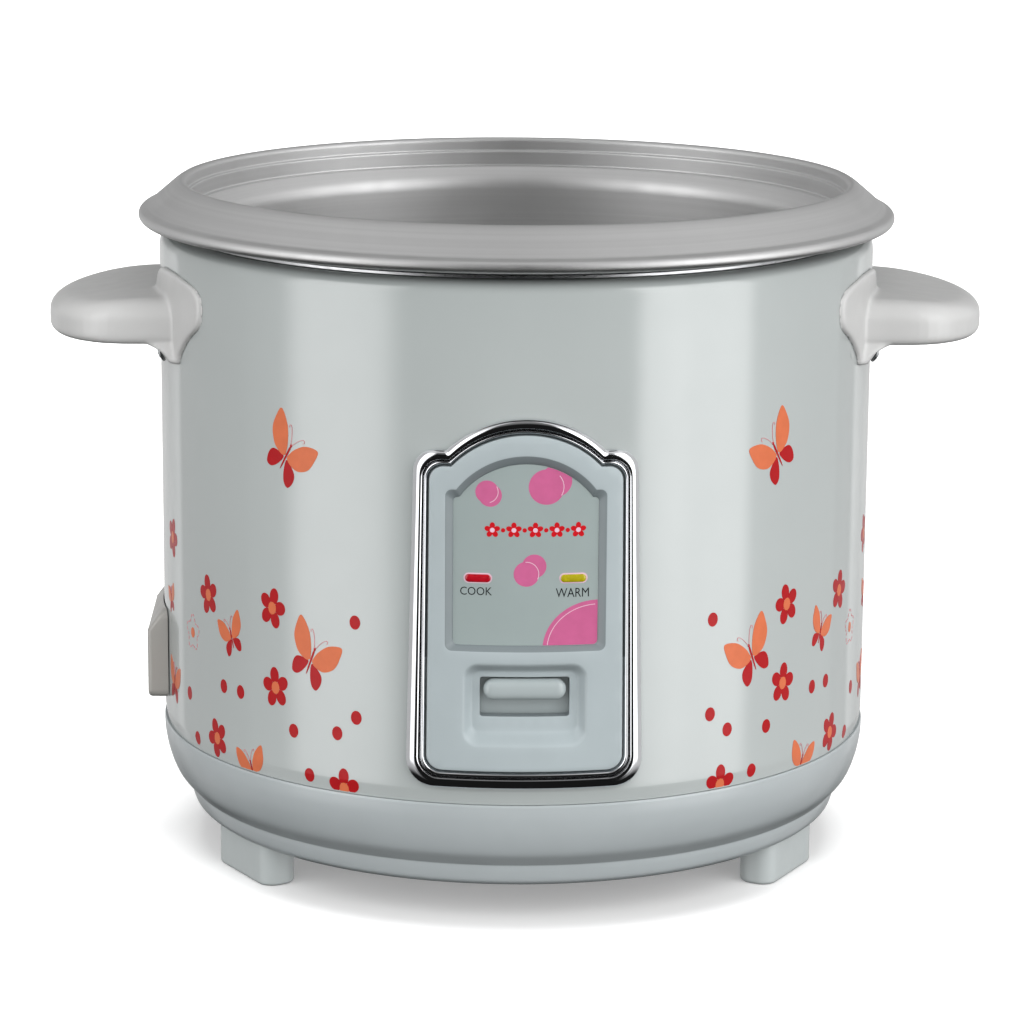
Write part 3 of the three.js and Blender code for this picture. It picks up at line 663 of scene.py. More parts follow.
def clear_glass(name, color):
    look = Look(name, color, 0.08)
    look.mottled(look.noise(3), 0.05)
    look.uneven(look.noise(2), 0.05, 0.12)
    look.raised(look.noise(2.5), 0.003)
    return look.set(Transmission_Weight=0.6).material


def woven(name, color):
    """A braided sleeve: two crossing waves of threads."""
    look = Look(name, color, 0.75)
    look.mottled(look.noise(2.2, 4), 0.1)
    for turn in (0.7, -0.7):
        mapping = look.node("ShaderNodeMapping", {"Vector": look.space}, {"Rotation": (0, turn, turn)})
        wave = look.node("ShaderNodeTexWave", {"Vector": mapping.outputs["Vector"]},
                         {"Scale": 1 / (3.2 * MM)})
        look.raised(wave.outputs["Fac"], 0.12)
    return look.material


def printed(name, color):
    """Printing ink: flat and slightly open, with a hint of the screen."""
    look = Look(name, color, 0.3)
    look.mottled(look.noise(4, 4), 0.035)
    look.uneven(look.noise(1.5, 3), 0.3, 0.38)
    look.raised(look.noise(2.4, 1), 0.001)
    return look.set(Specular_IOR_Level=0.18, Coat_Weight=0.12, Coat_Roughness=0.12).material


LOOKS = {
    "shell_paint": painted("shell_paint", (0.40, 0.432, 0.427)),
    "bowl_plastic": moulded("bowl_plastic", (0.385, 0.42, 0.43), 0.34, depth=0.001, gloss=0.4),
    "foot_plastic": moulded("foot_plastic", (0.43, 0.465, 0.465), 0.42, depth=0.0015),
    "inlet_plastic": moulded("inlet_plastic", (0.35, 0.34, 0.32), 0.36, gloss=0.2),
    "handle_plastic": moulded("handle_plastic", (0.54, 0.54, 0.535), 0.38, depth=0.0006, gloss=0.25),
    "fascia_plastic": moulded("fascia_plastic", (0.37, 0.42, 0.435), 0.36, depth=0.0012),
    # A darker copy of the fascia's plastic: painted shade for the window's slope and the slot's walls.
    "fascia_painted_shade": moulded("fascia_painted_shade", (0.19, 0.22, 0.23), 0.4, depth=0.0012),
    "label_print": moulded("label_print", (0.285, 0.335, 0.33), 0.42, depth=0.001),
    "knob_plastic": moulded("knob_plastic", (0.36, 0.405, 0.41), 0.34, depth=0.0005, gloss=0.5),
    "red_lens": lens("red_lens", (0.36, 0.004, 0.012), 0.08),
    "yellow_lens": lens("yellow_lens", (0.36, 0.31, 0.008), 0.08),
    "chrome": plated("chrome", (0.78, 0.79, 0.81)),
    "pan_aluminium": turned_metal("pan_aluminium", (0.66, 0.66, 0.66), 0.5),
    "cast_aluminium": cast_metal("cast_aluminium", (0.62, 0.62, 0.62)),
    "sheet_steel": rolled_metal("sheet_steel", (0.6, 0.61, 0.62), 0.34),
    "steel": rolled_metal("steel", (0.46, 0.47, 0.48), 0.36, (1, 1, 4)),
    "spring_steel": rolled_metal("spring_steel", (0.5, 0.5, 0.52), 0.28, (3, 3, 3)),
    "brass": rolled_metal("brass", (0.62, 0.47, 0.2), 0.32, (1, 8, 1)),
    "ferrite": coarse("ferrite", (0.035, 0.036, 0.04), 0.62, 0.6, 0.02),
    "phenolic": coarse("phenolic", (0.03, 0.024, 0.02), 0.5, 0.8, 0.008),
    "ceramic": coarse("ceramic", (0.78, 0.74, 0.66), 0.6, 0.7, 0.01),
    "bulb_glass": clear_glass("bulb_glass", (0.8, 0.5, 0.3)),
    "wire_sleeve": woven("wire_sleeve", (0.6, 0.56, 0.48)),
}
INK_RED = printed("ink_red", (0.38, 0.0008, 0.004))
INK_ORANGE = printed("ink_orange", (0.62, 0.15, 0.06))
INK_PINK = printed("ink_pink", (0.62, 0.2, 0.22))
LABEL_PINK = printed("label_pink", (0.5, 0.11, 0.245))
LABEL_LIGHT = printed("label_light", (0.68, 0.46, 0.55))
LABEL_RED = printed("label_red", (0.5, 0.006, 0.012))
LABEL_DARK = printed("label_dark", (0.012, 0.013, 0.015))
SLOT_OF = {row["node"]: row["material_slot"] for row in frame["record"]["subparts"]}


# ---- The cooking pan, the liner and the heating plate ------------------------------------------


def cooking_pan():
    """Spun aluminium: a stepped rim, a sloping flange and a rolled bead."""
    wall = 1.3
    radius = 104
    corner = 21
    seat = RIM_Z - 10
    edge_z = 216.4  # the rim's underside and the middle of the bead
    bead = dict(r=RIM_RADIUS - 2, z=edge_z, radius=2)
    outer = [(0, PAN_BOTTOM_Z)] + arc(radius + wall - corner, PAN_BOTTOM_Z + corner, corner, -90, 0, 16)
    under = eased([
        (radius + wall, PAN_BOTTOM_Z + corner, 0), (radius + wall, 212.5, 3), (109.3, edge_z, 1),
        (111.3, edge_z, 0.6), (111.3, 221.7, 0.5), (112.3, 221.7, 0.4), (112.3, 225.6, 0.8),
        (113.7, 225.6, 0.8), (122.8, 217.9, 0.6), (bead["r"] - bead["radius"], bead["z"], 0)])
    rim = eased([
        (bead["r"] + bead["radius"] * math.cos(math.radians(64)), 218.2, 0), (123.9, 218.9, 0.7),
        (114.9, 226.6, 2.6), (112.7, RIM_Z + 0.25, 1.4), (111, 226.9, 1.3), (111, 223.1, 0.7),
        (110, 222.8, 0.5), (110, seat, 0.9), (108.7, seat - 0.1, 1.0), (radius, 212.6, 3.2),
        (radius, PAN_BOTTOM_Z + corner, 0)])
    # The rounded crest is brought down to the height of the CAD's rim.
    crest = max(z for _, z in rim)
    rim = [(r, z - max(crest - RIM_Z, 0)) if z > 226 else (r, z) for r, z in rim]
    inner = arc(radius + wall - corner, PAN_BOTTOM_Z + corner, corner - wall, 0, -90, 16)
    profile = (outer + under[1:] + arc(bead["r"], bead["z"], bead["radius"], 180, 424, 20)[1:]
               + rim[1:] + inner[1:] + [(0, PAN_BOTTOM_Z + wall)])
    pan = Solid().turned(profile)
    add_solid("cooking_pan_smooth", pan, "pan", "pan_aluminium", ["cooking_pan"], crease=50)


def inner_liner():
    outer, wall, hole, flange_r = 108, 0.8, 20, 114
    profile = eased([
        (hole, LINER_FLOOR_Z, 0), (outer, LINER_FLOOR_Z, 4), (outer, LINER_TOP_Z - wall, 0.4),
        (flange_r, LINER_TOP_Z - wall, 0), (flange_r, LINER_TOP_Z, 0), (outer - wall, LINER_TOP_Z, 1.2),
        (outer - wall, LINER_FLOOR_Z + wall, 3.4), (hole, LINER_FLOOR_Z + wall, 0)])
    add_solid("inner_liner_smooth", Solid().turned(profile), "housing", "sheet_steel", ["inner_liner"])


def heating_plate():
    """A cast plate with the heating ring under it and two shallow grooves on top."""
    hole = 18.3
    under = 88
    ring_r, ring_low = 65, 85.8
    grooves = [(middle + side, PLATE_TOP_Z - depth, 0.2) for middle in (59.6, 39.6)
               for side, depth in ((1.4, 0), (0.8, 0.35), (-0.8, 0.35), (-1.4, 0))]
    profile = eased([
        (hole, under, 0), (ring_r - 6, under, 0.8), (ring_r - 4, ring_low, 0.9),
        (ring_r + 4, ring_low, 0.9), (ring_r + 6, under, 0.8), (PLATE_RADIUS, under, 1.2),
        (PLATE_RADIUS, PLATE_TOP_Z - 5, 1.5), (PLATE_RADIUS - 4, PLATE_TOP_Z, 1.5), *grooves,
        (hole, PLATE_TOP_Z, 0)])
    profile[-1:] = [(hole + 0.8, PLATE_TOP_Z), (hole, PLATE_TOP_Z - 0.8)]
    plate = Solid().turned(profile)
    add_solid("heating_plate_smooth", plate, "housing", "cast_aluminium", ["heating_plate"])


def sensor_cap():
    outer, inner, bottom = high("sensor_cap")[X], 16, low("sensor_cap")[Z]
    top = high("sensor_cap")[Z]
    ceiling = top - 1.5
    profile = [(0, ceiling)] + eased([
        (0.1, ceiling, 0), (inner, ceiling, 0.6), (inner, bottom, 0), (outer, bottom, 0.3),
        (outer, top, 1.6), (12.6, top, 0.3), (12.2, top - 0.3, 0.2), (11.2, top - 0.3, 0.2),
        (10.8, top, 0.3), (0.1, top, 0)]) + [(0, top)]
    add_solid("sensor_cap_smooth", Solid().turned(profile, 96), "sensor", "cast_aluminium", ["sensor_cap"])


# ---- The drum and its base ---------------------------------------------------------------------


def body_shell():
    """The painted drum: a rolled hem, a curled top, and openings behind the panel and the inlet."""
    wall = 1
    top = SHELL_TOP_Z
    bottom = SEAM_Z + SEAM_GAP
    hem = [bottom + (HEM_Z - bottom) * i / 4 for i in range(4)] + [HEM_Z - 0.12, HEM_Z + 0.25]
    panel_window = dict(middle=0, steps=7, low=60.0, high=146.0)
    inlet_window = dict(middle=-90, steps=4, low=53.8, high=74.4)
    windows = [panel_window, inlet_window]
    side = sorted({panel_window["low"], panel_window["high"], inlet_window["low"], inlet_window["high"],
                   50.5, 57.0, 90.0, 118.0, 165.0, 185.0, 200.0})
    walls = hem + [z for z in side if z > HEM_Z + 0.3]
    curl = eased([(SHELL_RADIUS, 200.0, 0), (SHELL_RADIUS, top, 5.5), (109, top, 0)], 8)[1:]
    lining = eased([
        (109, top - wall, 0), (SHELL_RADIUS - wall, top - wall, 4.6), (SHELL_RADIUS - wall, 200, 0)], 8)
    outside = [(drum_radius(z), z) for z in walls]
    within_wall = [(drum_radius(z) - wall, z) for z in reversed(walls)]
    profile = outside + curl + lining[:-1] + within_wall
    solid = Solid()
    loops = [solid.loop([round_axis(r, 360 * i / TURNS, z) for i in range(TURNS)]) for r, z in profile]
    total = len(profile)

    def opened(index, band):
        z = (profile[band][1] + profile[(band + 1) % total][1]) / 2
        straight = band < len(outside) - 1 or band >= total - len(within_wall)
        for window in windows:
            first = round(window["middle"] / 360 * TURNS) - window["steps"]
            at_height = window["low"] < z < window["high"]
            if straight and at_height and (index - first) % TURNS < 2 * window["steps"]:
                return True
        return False

    for band in range(total):
        a, b = loops[band], loops[(band + 1) % total]
        for i in range(TURNS):
            j = (i + 1) % TURNS
            if not opened(i, band):
                solid.faces.append((a[i], a[j], b[j], b[i]))
    for window in windows:
        window_wall(solid, loops, profile, window, len(outside))
    add_solid("body_shell_smooth", solid, "housing", "shell_paint", ["body_shell"])


def window_wall(solid, loops, profile, window, outer_count):
    """The four cut edges of an opening, from the outer skin to the inner one."""
    total = len(profile)
    outer = {round(profile[k][1], 6): loops[k] for k in range(outer_count)}
    inner = {round(profile[k][1], 6): loops[k] for k in range(total - outer_count, total)}
    heights = sorted(z for z in outer if window["low"] <= z <= window["high"])
    first = round(window["middle"] / 360 * TURNS) - window["steps"]
    last = first + 2 * window["steps"]
    for index in (first, last):
        i = index % TURNS
        for z, higher in zip(heights, heights[1:]):
            solid.faces.append((outer[z][i], outer[higher][i], inner[higher][i], inner[z][i]))
    for z in (heights[0], heights[-1]):
        for index in range(first, last):
            i, j = index % TURNS, (index + 1) % TURNS
            solid.faces.append((outer[z][i], outer[z][j], inner[z][j], inner[z][i]))


def base_bowl():
    """The moulded bowl: a foot ring, a step, and a belly that rises to the seam."""
    ring = spline([(108.8, BASE_Z), (110.4, 16.0), (111.4, 19.2), (111.8, 21.5)], 6)
    belly = spline([(113.2, 22.9), (116.6, 27), (118.9, 33), (120.1, 39), (120.3, SEAM_Z - 0.5)], 8)
    inside_wall = eased([
        (120.05, SEAM_Z, 0), (118.4, SEAM_Z, 0), (118.4, SEAM_Z + 5, 0.4), (116.6, SEAM_Z + 5, 0.4),
        (117.6, 37, 2), (114.6, 28.4, 2), (109, 22, 2), (106.6, 18.7, 1), (88, 18.7, 0.4), (88, 16.7, 0.4),
        (98, 16.7, 0.2), (98, BASE_Z, 0.4), (108.0, BASE_Z, 0)])
    step = [(112.0, 21.9), (112.7, 22.3)]
    profile = ring + step + belly + inside_wall
    bowl = Solid().turned(profile)
    add_solid("base_bowl_smooth", bowl, "housing", "bowl_plastic", ["base_bowl"], crease=50)


def foot(name, degrees):
    """A block with round ends, eased where it meets the floor."""
    half, thick = FOOT["length"] / 2, FOOT["thickness"] / 2
    top = high(name)[Z]
    solid = Solid()
    levels = [(-1.3, 0), (-0.75, 0.14), (-0.3, 0.5), (-0.06, 0.95), (0, 1.5), (0.05, top)]

    def plan(by):
        return box_outline(half + by, -thick - by, thick + by, FOOT["corner"] + by, 0, 10, (2, 8, 2, 8))
    loops = solid.skins([[(x, y, z) for x, y in plan(by)] for by, z in levels])
    solid.skin(solid.loop([(0, 0, 0)]), loops[0])
    solid.skin(loops[-1], solid.loop([(0, 0, top)]))
    centre = round_axis(FOOT["face"] - thick, degrees)
    turn = Matrix.Translation(centre) @ Matrix.Rotation(math.radians(degrees), 4, "Z")
    add_solid(f"{name}_smooth", solid.moved(turn), "housing", "foot_plastic", [name])


# ---- Screws ------------------------------------------------------------------------------------


def screw_mesh(name, shank, length, head, head_height):
    """A screw on its tip with a domed head up, and a cross recess cut in the head."""
    top = length + head_height
    profile = [(0, 0), (shank * 0.4, 0), (shank, 1.2), (shank, length)] + eased([
        (shank, length, 0), (head, length, 0.15), (head, length + 0.45 * head_height, 0.5 * head),
        (head * 0.25, top, 0.4), (0.05, top, 0)]) + [(0, top)]
    solid = Solid().turned(profile, 40)
    obj = linked(name, to_mesh(name, solid))
    arm, width, depth = 0.62 * head, 0.17 * head, 0.62 * head_height
    cross = Solid()
    for x, y in ((arm, width), (width, arm)):
        corners = [(-x, -y), (x, -y), (x, y), (-x, y)]
        ends = ((0.55, top - depth), (1, top + 1))
        loops = cross.skins([[(a * s, b * s, z) for a, b in corners] for s, z in ends])
        cross.faces += [tuple(reversed(loops[0])), tuple(loops[-1])]
    cutter = linked(f"{name}_cross", to_mesh(f"{name}_cross", cross))
    modified(obj, "BOOLEAN", object=cutter, operation="DIFFERENCE", solver="EXACT", use_self=True)
    mesh = evaluated(obj)
    bpy.data.objects.remove(cutter)
    return smoothed(mesh)


def screws():
    """Each screw stands on its tip and points outwards; its turn about its own axis is its own."""
    places = []
    slope = math.radians(25)
    for side, sign in (("right", 1), ("left", -1)):
        for number, y in enumerate((-HANDLE_SCREW["y"], HANDLE_SCREW["y"]), start=1):
            outward = Vector((sign * math.cos(slope), 0, -math.sin(slope)))
            seat = Vector((sign * HANDLE_SCREW["x"], sign * y, HANDLE_SCREW["z"]))
            places.append((f"handle_screw_{side}_{number}", (1.5, 10.5, 2.6, 1.4), outward,
                           seat + outward * (GAP - 10.5)))
    for number, degrees in enumerate((0, 120, 240), start=1):
        tip = Vector(round_axis(BOTTOM_SCREW_CIRCLE, degrees, high(f"bottom_screw_{number}")[Z]))
        places.append((f"bottom_screw_{number}", (1.5, 8, 3.2, 1.7), Vector((0, 0, -1)), tip))
    for number, degrees in enumerate((60, 180, 300), start=1):
        tip = Vector(round_axis(PLATE_SCREW_CIRCLE, degrees, high(f"plate_screw_{number}")[Z]))
        places.append((f"plate_screw_{number}", (1.5, 3.6, 3.4, 2), Vector((0, 0, -1)), tip))
    for number, y in enumerate((-INLET_SCREW["y"], INLET_SCREW["y"]), start=1):
        tip = Vector((high(f"inlet_screw_{number}")[X], y, INLET_SCREW["z"]))
        places.append((f"inlet_screw_{number}", (1.5, 10, 2.9, 1.4), Vector((-1, 0, 0)), tip))
    made = {}
    for index, (node, sizes, outward, tip) in enumerate(places):
        if sizes not in made:
            made[sizes] = screw_mesh(f"{node}_form", *sizes)
        mesh = made[sizes].copy()
        spin = Matrix.Rotation(0.9 * index + 0.4, 4, "Z")
        turn = outward.to_track_quat("Z", "Y").to_matrix().to_4x4() @ spin
        mesh.transform(Matrix.Translation(tip * MM) @ turn)
        add_piece(f"{node}_cross_head", mesh, "housing", SLOT_OF[node], [node])


# ---- Handles -----------------------------------------------------------------------------------


def grip_path(inset):
    """The grip's plan from the drum round the tip and back: straight sides and a round tip."""
    root = HANDLE_BACK
    half = GRIP["half"] - inset
    start_x = math.sqrt(root ** 2 - half ** 2)
    side = [(start_x + (GRIP["straight"] - start_x) * i / 10, -half) for i in range(11)]
    a, b = Vector((GRIP["straight"], -GRIP["half"])), Vector((GRIP["shoulder"], -GRIP["half"]))
    c, d = Vector((GRIP_TIP, -GRIP["tip_half"])), Vector((GRIP_TIP, 0))
    for i in range(1, 17):
        t = i / 16
        point = a * (1 - t) ** 3 + b * 3 * t * (1 - t) ** 2 + c * 3 * t ** 2 * (1 - t) + d * t ** 3
        along = ((b - a) * (1 - t) ** 2 + (c - b) * 2 * t * (1 - t) + (d - c) * t ** 2).normalized()
        side.append(tuple(point + Vector((-along.y, along.x)) * inset))
    back = [(x, -y) for x, y in reversed(side[:-1])]
    turn = math.degrees(math.atan2(half, start_x))
    return side + back + arc(0, 0, root, turn, -turn, 30)[1:-1]


def grip(solid):
    """The grip: crowned above, hollow below."""
    low_z, high_z = GRIP["low"], GRIP["high"]
    levels = [(2.6 * (1 - math.sin(a)), low_z + 2.6 * (1 - math.cos(a))) for a in
              (math.radians(15 * k) for k in range(7))]
    levels += [(7.6 * (1 - math.cos(a)), high_z - 5.6 + 5.6 * math.sin(a)) for a in
               (math.radians(9 * k) for k in range(11))]

    def crowned(x, y, z):
        """The upper side climbs towards the drum."""
        climb = 0.22 * smooth_step(min(max((GRIP_TIP - x) / 36, 0), 1)) - 0.03
        return (x, y, z + (z - low_z) * climb)
    solid.skins([[crowned(x, y, z) for x, y in grip_path(by)] for by, z in levels])
    top = grip_path(levels[-1][0])
    solid.fill([top], lambda x, y: crowned(x, y, high_z), 4)
    middle = (POCKET["start"] + POCKET["end"]) / 2
    pocket = [(x, y) for y, x in box_outline(
        POCKET["half"], POCKET["start"], POCKET["end"], POCKET["corner"])]
    bottom = grip_path(levels[0][0])
    solid.fill([bottom, pocket], lambda x, y: (x, y, low_z), 4)

    def narrowed(by):
        return [(middle + (x - middle) * (1 - by / 20), y * (1 - by / 60)) for x, y in pocket]
    walls = [(0, low_z), (0.5, low_z + 1), (0.9, POCKET["ceiling"] - 1.5), (2.2, POCKET["ceiling"])]
    solid.skins([[(x, y, z) for x, y in narrowed(by)] for by, z in walls])
    ceiling = narrowed(2.2)
    solid.fill([ceiling], lambda x, y: (x, y, POCKET["ceiling"]), 4)


def flange(solid):
    """The plate that lies on the drum, with a leg at each side of the grip."""
    half = [(8, 189, 2), (16, 197, 3), (26, 201.6, 5), (42, 202, 8), (57, 199.6, 5), (62, 196.6, 3),
            (62, 187.2, 4), (53, 181, 4), (47, 175, 3), (45.5, 171.6, 1.6), (36.5, 171.6, 1.6),
            (34, 176.5, 2)]
    mirrored = [(-y, z, fillet) for y, z, fillet in reversed(half)]
    outline = eased(half + mirrored, 5, closed=True)
    dense = []
    for i, point in enumerate(outline):
        following = outline[(i + 1) % len(outline)]
        steps = max(1, round(math.dist(point, following) / 3))
        dense += [point] + line(point, following, steps)
    count = len(dense)
    normals = []
    for i in range(count):
        before, after = Vector(dense[i - 1]), Vector(dense[(i + 1) % count])
        along = (after - before).normalized()
        normals.append(Vector((along.y, -along.x)))
    towards = -1 if normals[0].y > 0 else 1

    def inset(by):
        return [tuple(Vector(p) + n * by * towards) for p, n in zip(dense, normals)]

    def on_cylinder(radius):
        return lambda y, z: (math.sqrt(radius ** 2 - y ** 2), y, z)
    levels = [(0, HANDLE_BACK), (0, FLANGE_RADIUS - 0.7), (0.25, FLANGE_RADIUS - 0.2),
              (0.8, FLANGE_RADIUS)]
    for by, radius in (levels[0], levels[-1]):
        edge = inset(by)
        solid.fill([edge], on_cylinder(radius), 4)
    solid.skins([[on_cylinder(radius)(y, z) for y, z in inset(by)] for by, radius in levels])
    leg(solid, -1)
    leg(solid, 1)


def leg(solid, sign):
    """A leg under the grip, which reaches further out as it rises into the grip."""
    sections = []
    for z, reach in ((171.8, 114.6), (173, 115.6), (174.6, 116.8), (176.2, 118.6), (177.6, 121.6),
                     (178.8, 125), (180.5, 129)):
        outer, inner = 45.3 - 0.35 * (reach - 116), 36.7
        corners = [(outer, 0), (outer - 0.3, reach - 1.5), (outer - 1.8, reach), (inner + 1, reach),
                   (inner, 0)]
        sections.append([(max(x, math.sqrt(HANDLE_BACK ** 2 - y ** 2)), sign * y, z) for y, x in corners])
    loops = solid.skins(sections)
    solid.faces += [tuple(loops[0]), tuple(reversed(loops[-1]))]


def handles():
    solid = Solid()
    grip(solid)
    flange(solid)
    mesh = melted("handle_form", solid, 0.62, 6)
    seat = (SHELL_RADIUS + 0.04) * MM
    for vertex in mesh.vertices:
        radius = math.hypot(vertex.co.x, vertex.co.y)
        if radius < seat:
            vertex.co.x *= seat / radius
            vertex.co.y *= seat / radius
        vertex.co.x = min(vertex.co.x, GRIP_TIP * MM)
    for name, turn in (("handle_right", 0), ("handle_left", math.pi)):
        copy = mesh.copy()
        copy.transform(Matrix.Rotation(turn, 4, "Z"))
        add_piece(f"{name}_moulding", copy, "housing", "handle_plastic", [name])


# ---- The control panel -------------------------------------------------------------------------


def panel_frame():
    """A plated frame with a broad outer bead, a groove and a narrow inner bead."""
    profile = [(0, 0), (0, 1.3)]
    profile += spline([(0.02, 1.68), (0.14, 2.32), (0.28, 2.74), (0.4, 2.9), (0.52, 2.88), (0.6, 2.6)], 6)
    profile += spline([(0.645, 1.75), (0.67, 1.6), (0.695, 1.75), (0.74, 2.3), (0.82, 2.6), (0.9, 2.3),
                       (0.97, 1.6)], 6)
    profile += [(1, 1.3), (1, 0)]
    solid = Solid()
    loops = solid.walls([(arch_outline(**between(FRAME_OUTER, FRAME_INNER, share)), FRAME_BACK + height)
                         for share, height in profile])
    solid.skin(loops[-1], loops[0])
    add_solid("panel_frame_plated", solid, "housing", "chrome", ["panel_frame"], crease=55)


def fascia():
    """The moulded fascia: a sunk window with sloping sides, and a dished recess with the switch's slot."""
    solid = Solid()
    face = FASCIA_RADIUS
    rim = grown(FRAME_INNER, -GAP)
    label_floor = LABEL_RADIUS - 1.3
    slot_top = RECESS_RADIUS

    def walls(make, steps):
        solid.walls([(make(**shape), radius) for shape, radius in steps])

    walls(arch_outline, [(rim, FRAME_BACK), (rim, face - 0.45), (grown(rim, -0.14), face - 0.14),
                         (grown(rim, -0.45), face)])
    window = [(grown(WINDOW, 0.5), face), (grown(WINDOW, 0.15), face - 0.06),
              (between(WINDOW, LABEL, 0.1), face - 0.24),
              (between(WINDOW, LABEL, 0.9), LABEL_RADIUS + 0.28), (LABEL, LABEL_RADIUS + 0.02),
              (LABEL, label_floor)]
    walls(arch_outline, window)
    dish = []
    for k in range(13):
        share = k / 12
        dish.append((between(RECESS, RECESS_FLOOR, share), face - (face - slot_top) * smooth_step(share)))
    walls(box_outline, dish)
    walls(box_outline, [(grown(SLOT, 0.35), slot_top), (grown(SLOT, 0.1), slot_top - 0.08),
                        (SLOT, slot_top - 0.35), (SLOT, SLOT_BACK)])

    face_edge = arch_outline(**grown(rim, -0.45))
    window_edge = arch_outline(**grown(WINDOW, 0.5))
    recess_edge = box_outline(**RECESS)
    solid.fill([face_edge, window_edge, recess_edge], from_front(face))
    floor_edge = box_outline(**RECESS_FLOOR)
    slot_edge = box_outline(**grown(SLOT, 0.35))
    solid.fill([floor_edge, slot_edge], from_front(slot_top))
    label_edge = arch_outline(**LABEL)
    solid.fill([label_edge], from_front(label_floor))

    back = FRAME_BACK
    window_tub = grown(WINDOW, 1.2)
    switch_tub = grown(RECESS, 1.2)
    collar = grown(SLOT, 1.4)
    rim_edge, window_back = arch_outline(**rim), arch_outline(**window_tub)
    switch_back, collar_edge, mouth = box_outline(**switch_tub), box_outline(**collar), box_outline(**SLOT)
    solid.fill([rim_edge, window_back, switch_back], from_front(back))
    walls(arch_outline, [(window_tub, back), (window_tub, label_floor - 1.3)])
    solid.fill([window_back], from_front(label_floor - 1.3))
    walls(box_outline, [(switch_tub, back), (switch_tub, slot_top - 1.5)])
    solid.fill([switch_back, collar_edge], from_front(slot_top - 1.5))
    walls(box_outline, [(collar, slot_top - 1.5), (collar, SLOT_BACK)])
    solid.fill([collar_edge, mouth], from_front(SLOT_BACK))
    plate = add_solid("panel_plate_moulding", solid, "housing", "fascia_plastic", ["panel_plate"],
                      crease=40)
    # The window's slope and the slot's walls are darker: painted shade where shade falls in them.
    plate.data.materials.append(LOOKS["fascia_painted_shade"])
    for polygon in plate.data.polygons:
        middle = polygon.center / MM
        radius = math.hypot(middle.x, middle.y)
        slope = middle.z > RECESS["high"] + 1 and LABEL_RADIUS < radius < face - 0.1
        slot_wall = abs(middle.x) < SLOT["half"] + 0.2 and SLOT_BACK + 0.1 < radius < slot_top - 0.05
        if slope or slot_wall:
            polygon.material_index = 1


def layer_on_label(solid, outlines, lift, limits=()):
    """Ink on the label, inside any of the outlines and inside every limit."""
    points, faces = triangulated([*outlines, *limits], in_any(outlines, *limits), 3)
    solid.slab(points, faces, from_front(LABEL_RADIUS + lift), from_front(LABEL_RADIUS + 0.005))


def label():
    edge = arch_outline(**grown(LABEL, -0.06))
    sheet = Solid()
    points, faces = triangulated([edge], within(edge), 2.5)
    sheet.slab(points, faces, from_front(LABEL_RADIUS), from_front(LABEL_RADIUS - 0.8))
    add_solid("label_sheet", sheet, "housing", "label_print", ["label_plate"])


def ellipse(x, z, wide, tall, steps=36, tilt=0):
    """An ellipse of two half sizes, tilted by so many degrees."""
    turn = math.radians(tilt)
    points = arc(0, 0, 1, 0, 360, steps)[:-1]
    return [(x + wide * c * math.cos(turn) - tall * s * math.sin(turn),
             z + wide * c * math.sin(turn) + tall * s * math.cos(turn)) for c, s in points]


def ribbon(points, width):
    """A closed outline of even width along a line."""
    left, right = [], []
    for i, point in enumerate(points):
        before, after = Vector(points[max(i - 1, 0)]), Vector(points[min(i + 1, len(points) - 1)])
        along = (after - before).normalized()
        across = Vector((-along.y, along.x)) * width / 2
        left.append(tuple(Vector(point) + across))
        right.append(tuple(Vector(point) - across))
    return left + right[::-1]


def flower(x, z, radius):
    """Five round petals, the first one upright, and then the middle."""
    petals = []
    for tilt in range(90, 450, 72):
        angle = math.radians(tilt)
        petals.append(ellipse(x + 0.6 * radius * math.cos(angle), z + 0.6 * radius * math.sin(angle),
                              0.4 * radius, 0.33 * radius, 22, tilt))
    return petals + [ellipse(x, z, 0.3 * radius, 0.3 * radius, 20)]


def in_any(outlines, *limits):
    """A test for the union of outlines, inside every limit."""
    def test(points):
        kept = np.zeros(len(points), bool)
        for outline in outlines:
            kept |= inside(outline, points)
        for limit in limits:
            kept &= inside(limit, points)
        return kept
    return test


def label_artwork():
    """Pink discs with thin light arcs, a red row of flowers and dots, and the lamps' light surrounds."""
    edge = arch_outline(**grown(LABEL, -0.12))
    pink, light, red = Solid(), Solid(), Solid()
    discs = [(-12.2, 145.5, 3.6), (-11.2, 144.4, 3.6), (6.3, 147.1, 5.6), (9.2, 149, 5.0),
             (0.2, 119.4, 4.0), (2.6, 121.9, 3.8)]
    for pair in (discs[0:2], discs[2:4], discs[4:6]):
        layer_on_label(pink, [ellipse(x, z, r, r, 56) for x, z, r in pair], 0.03, [edge])
    corner_x, corner_z = 22.4, 95.2
    layer_on_label(pink, [ellipse(corner_x, corner_z, 17.0, 15.6, 96)], 0.03, [edge])
    arcs = [arc(-12.2, 145.5, 3.45, -75, 30, 20), arc(6.3, 147.1, 5.35, -30, 42, 20),
            arc(0.2, 119.4, 3.85, -25, 95, 24)]
    arcs.append([(corner_x + 15.6 * c, corner_z + 14.2 * s) for c, s in arc(0, 0, 1, 92, 176, 30)])
    for points in arcs:
        layer_on_label(light, [ribbon(points, 0.22)], 0.055, [edge])
    row_z = 133.4
    for x in (-10.5, -3.8, 2.9, 9.6, 16.3):
        layer_on_label(red, flower(x, row_z, 2.5), 0.03)
        layer_on_label(light, [ellipse(x, row_z, 0.75, 0.75, 16)], 0.055)
        if x < 16:
            layer_on_label(red, [ellipse(x + 3.35, row_z, 0.7, 0.7, 16)], 0.03)
    for x in (-LENS_X, LENS_X):
        layer_on_label(light, [box_outline(4.45, LENS_Z - 1.65, LENS_Z + 1.65, 1.6, x)], 0.02)
    add_solid("label_pink_discs", pink, "housing", "label_print", look=LABEL_PINK)
    add_solid("label_light_arcs", light, "housing", "label_print", look=LABEL_LIGHT)
    add_solid("label_red_flowers", red, "housing", "label_print", look=LABEL_RED)


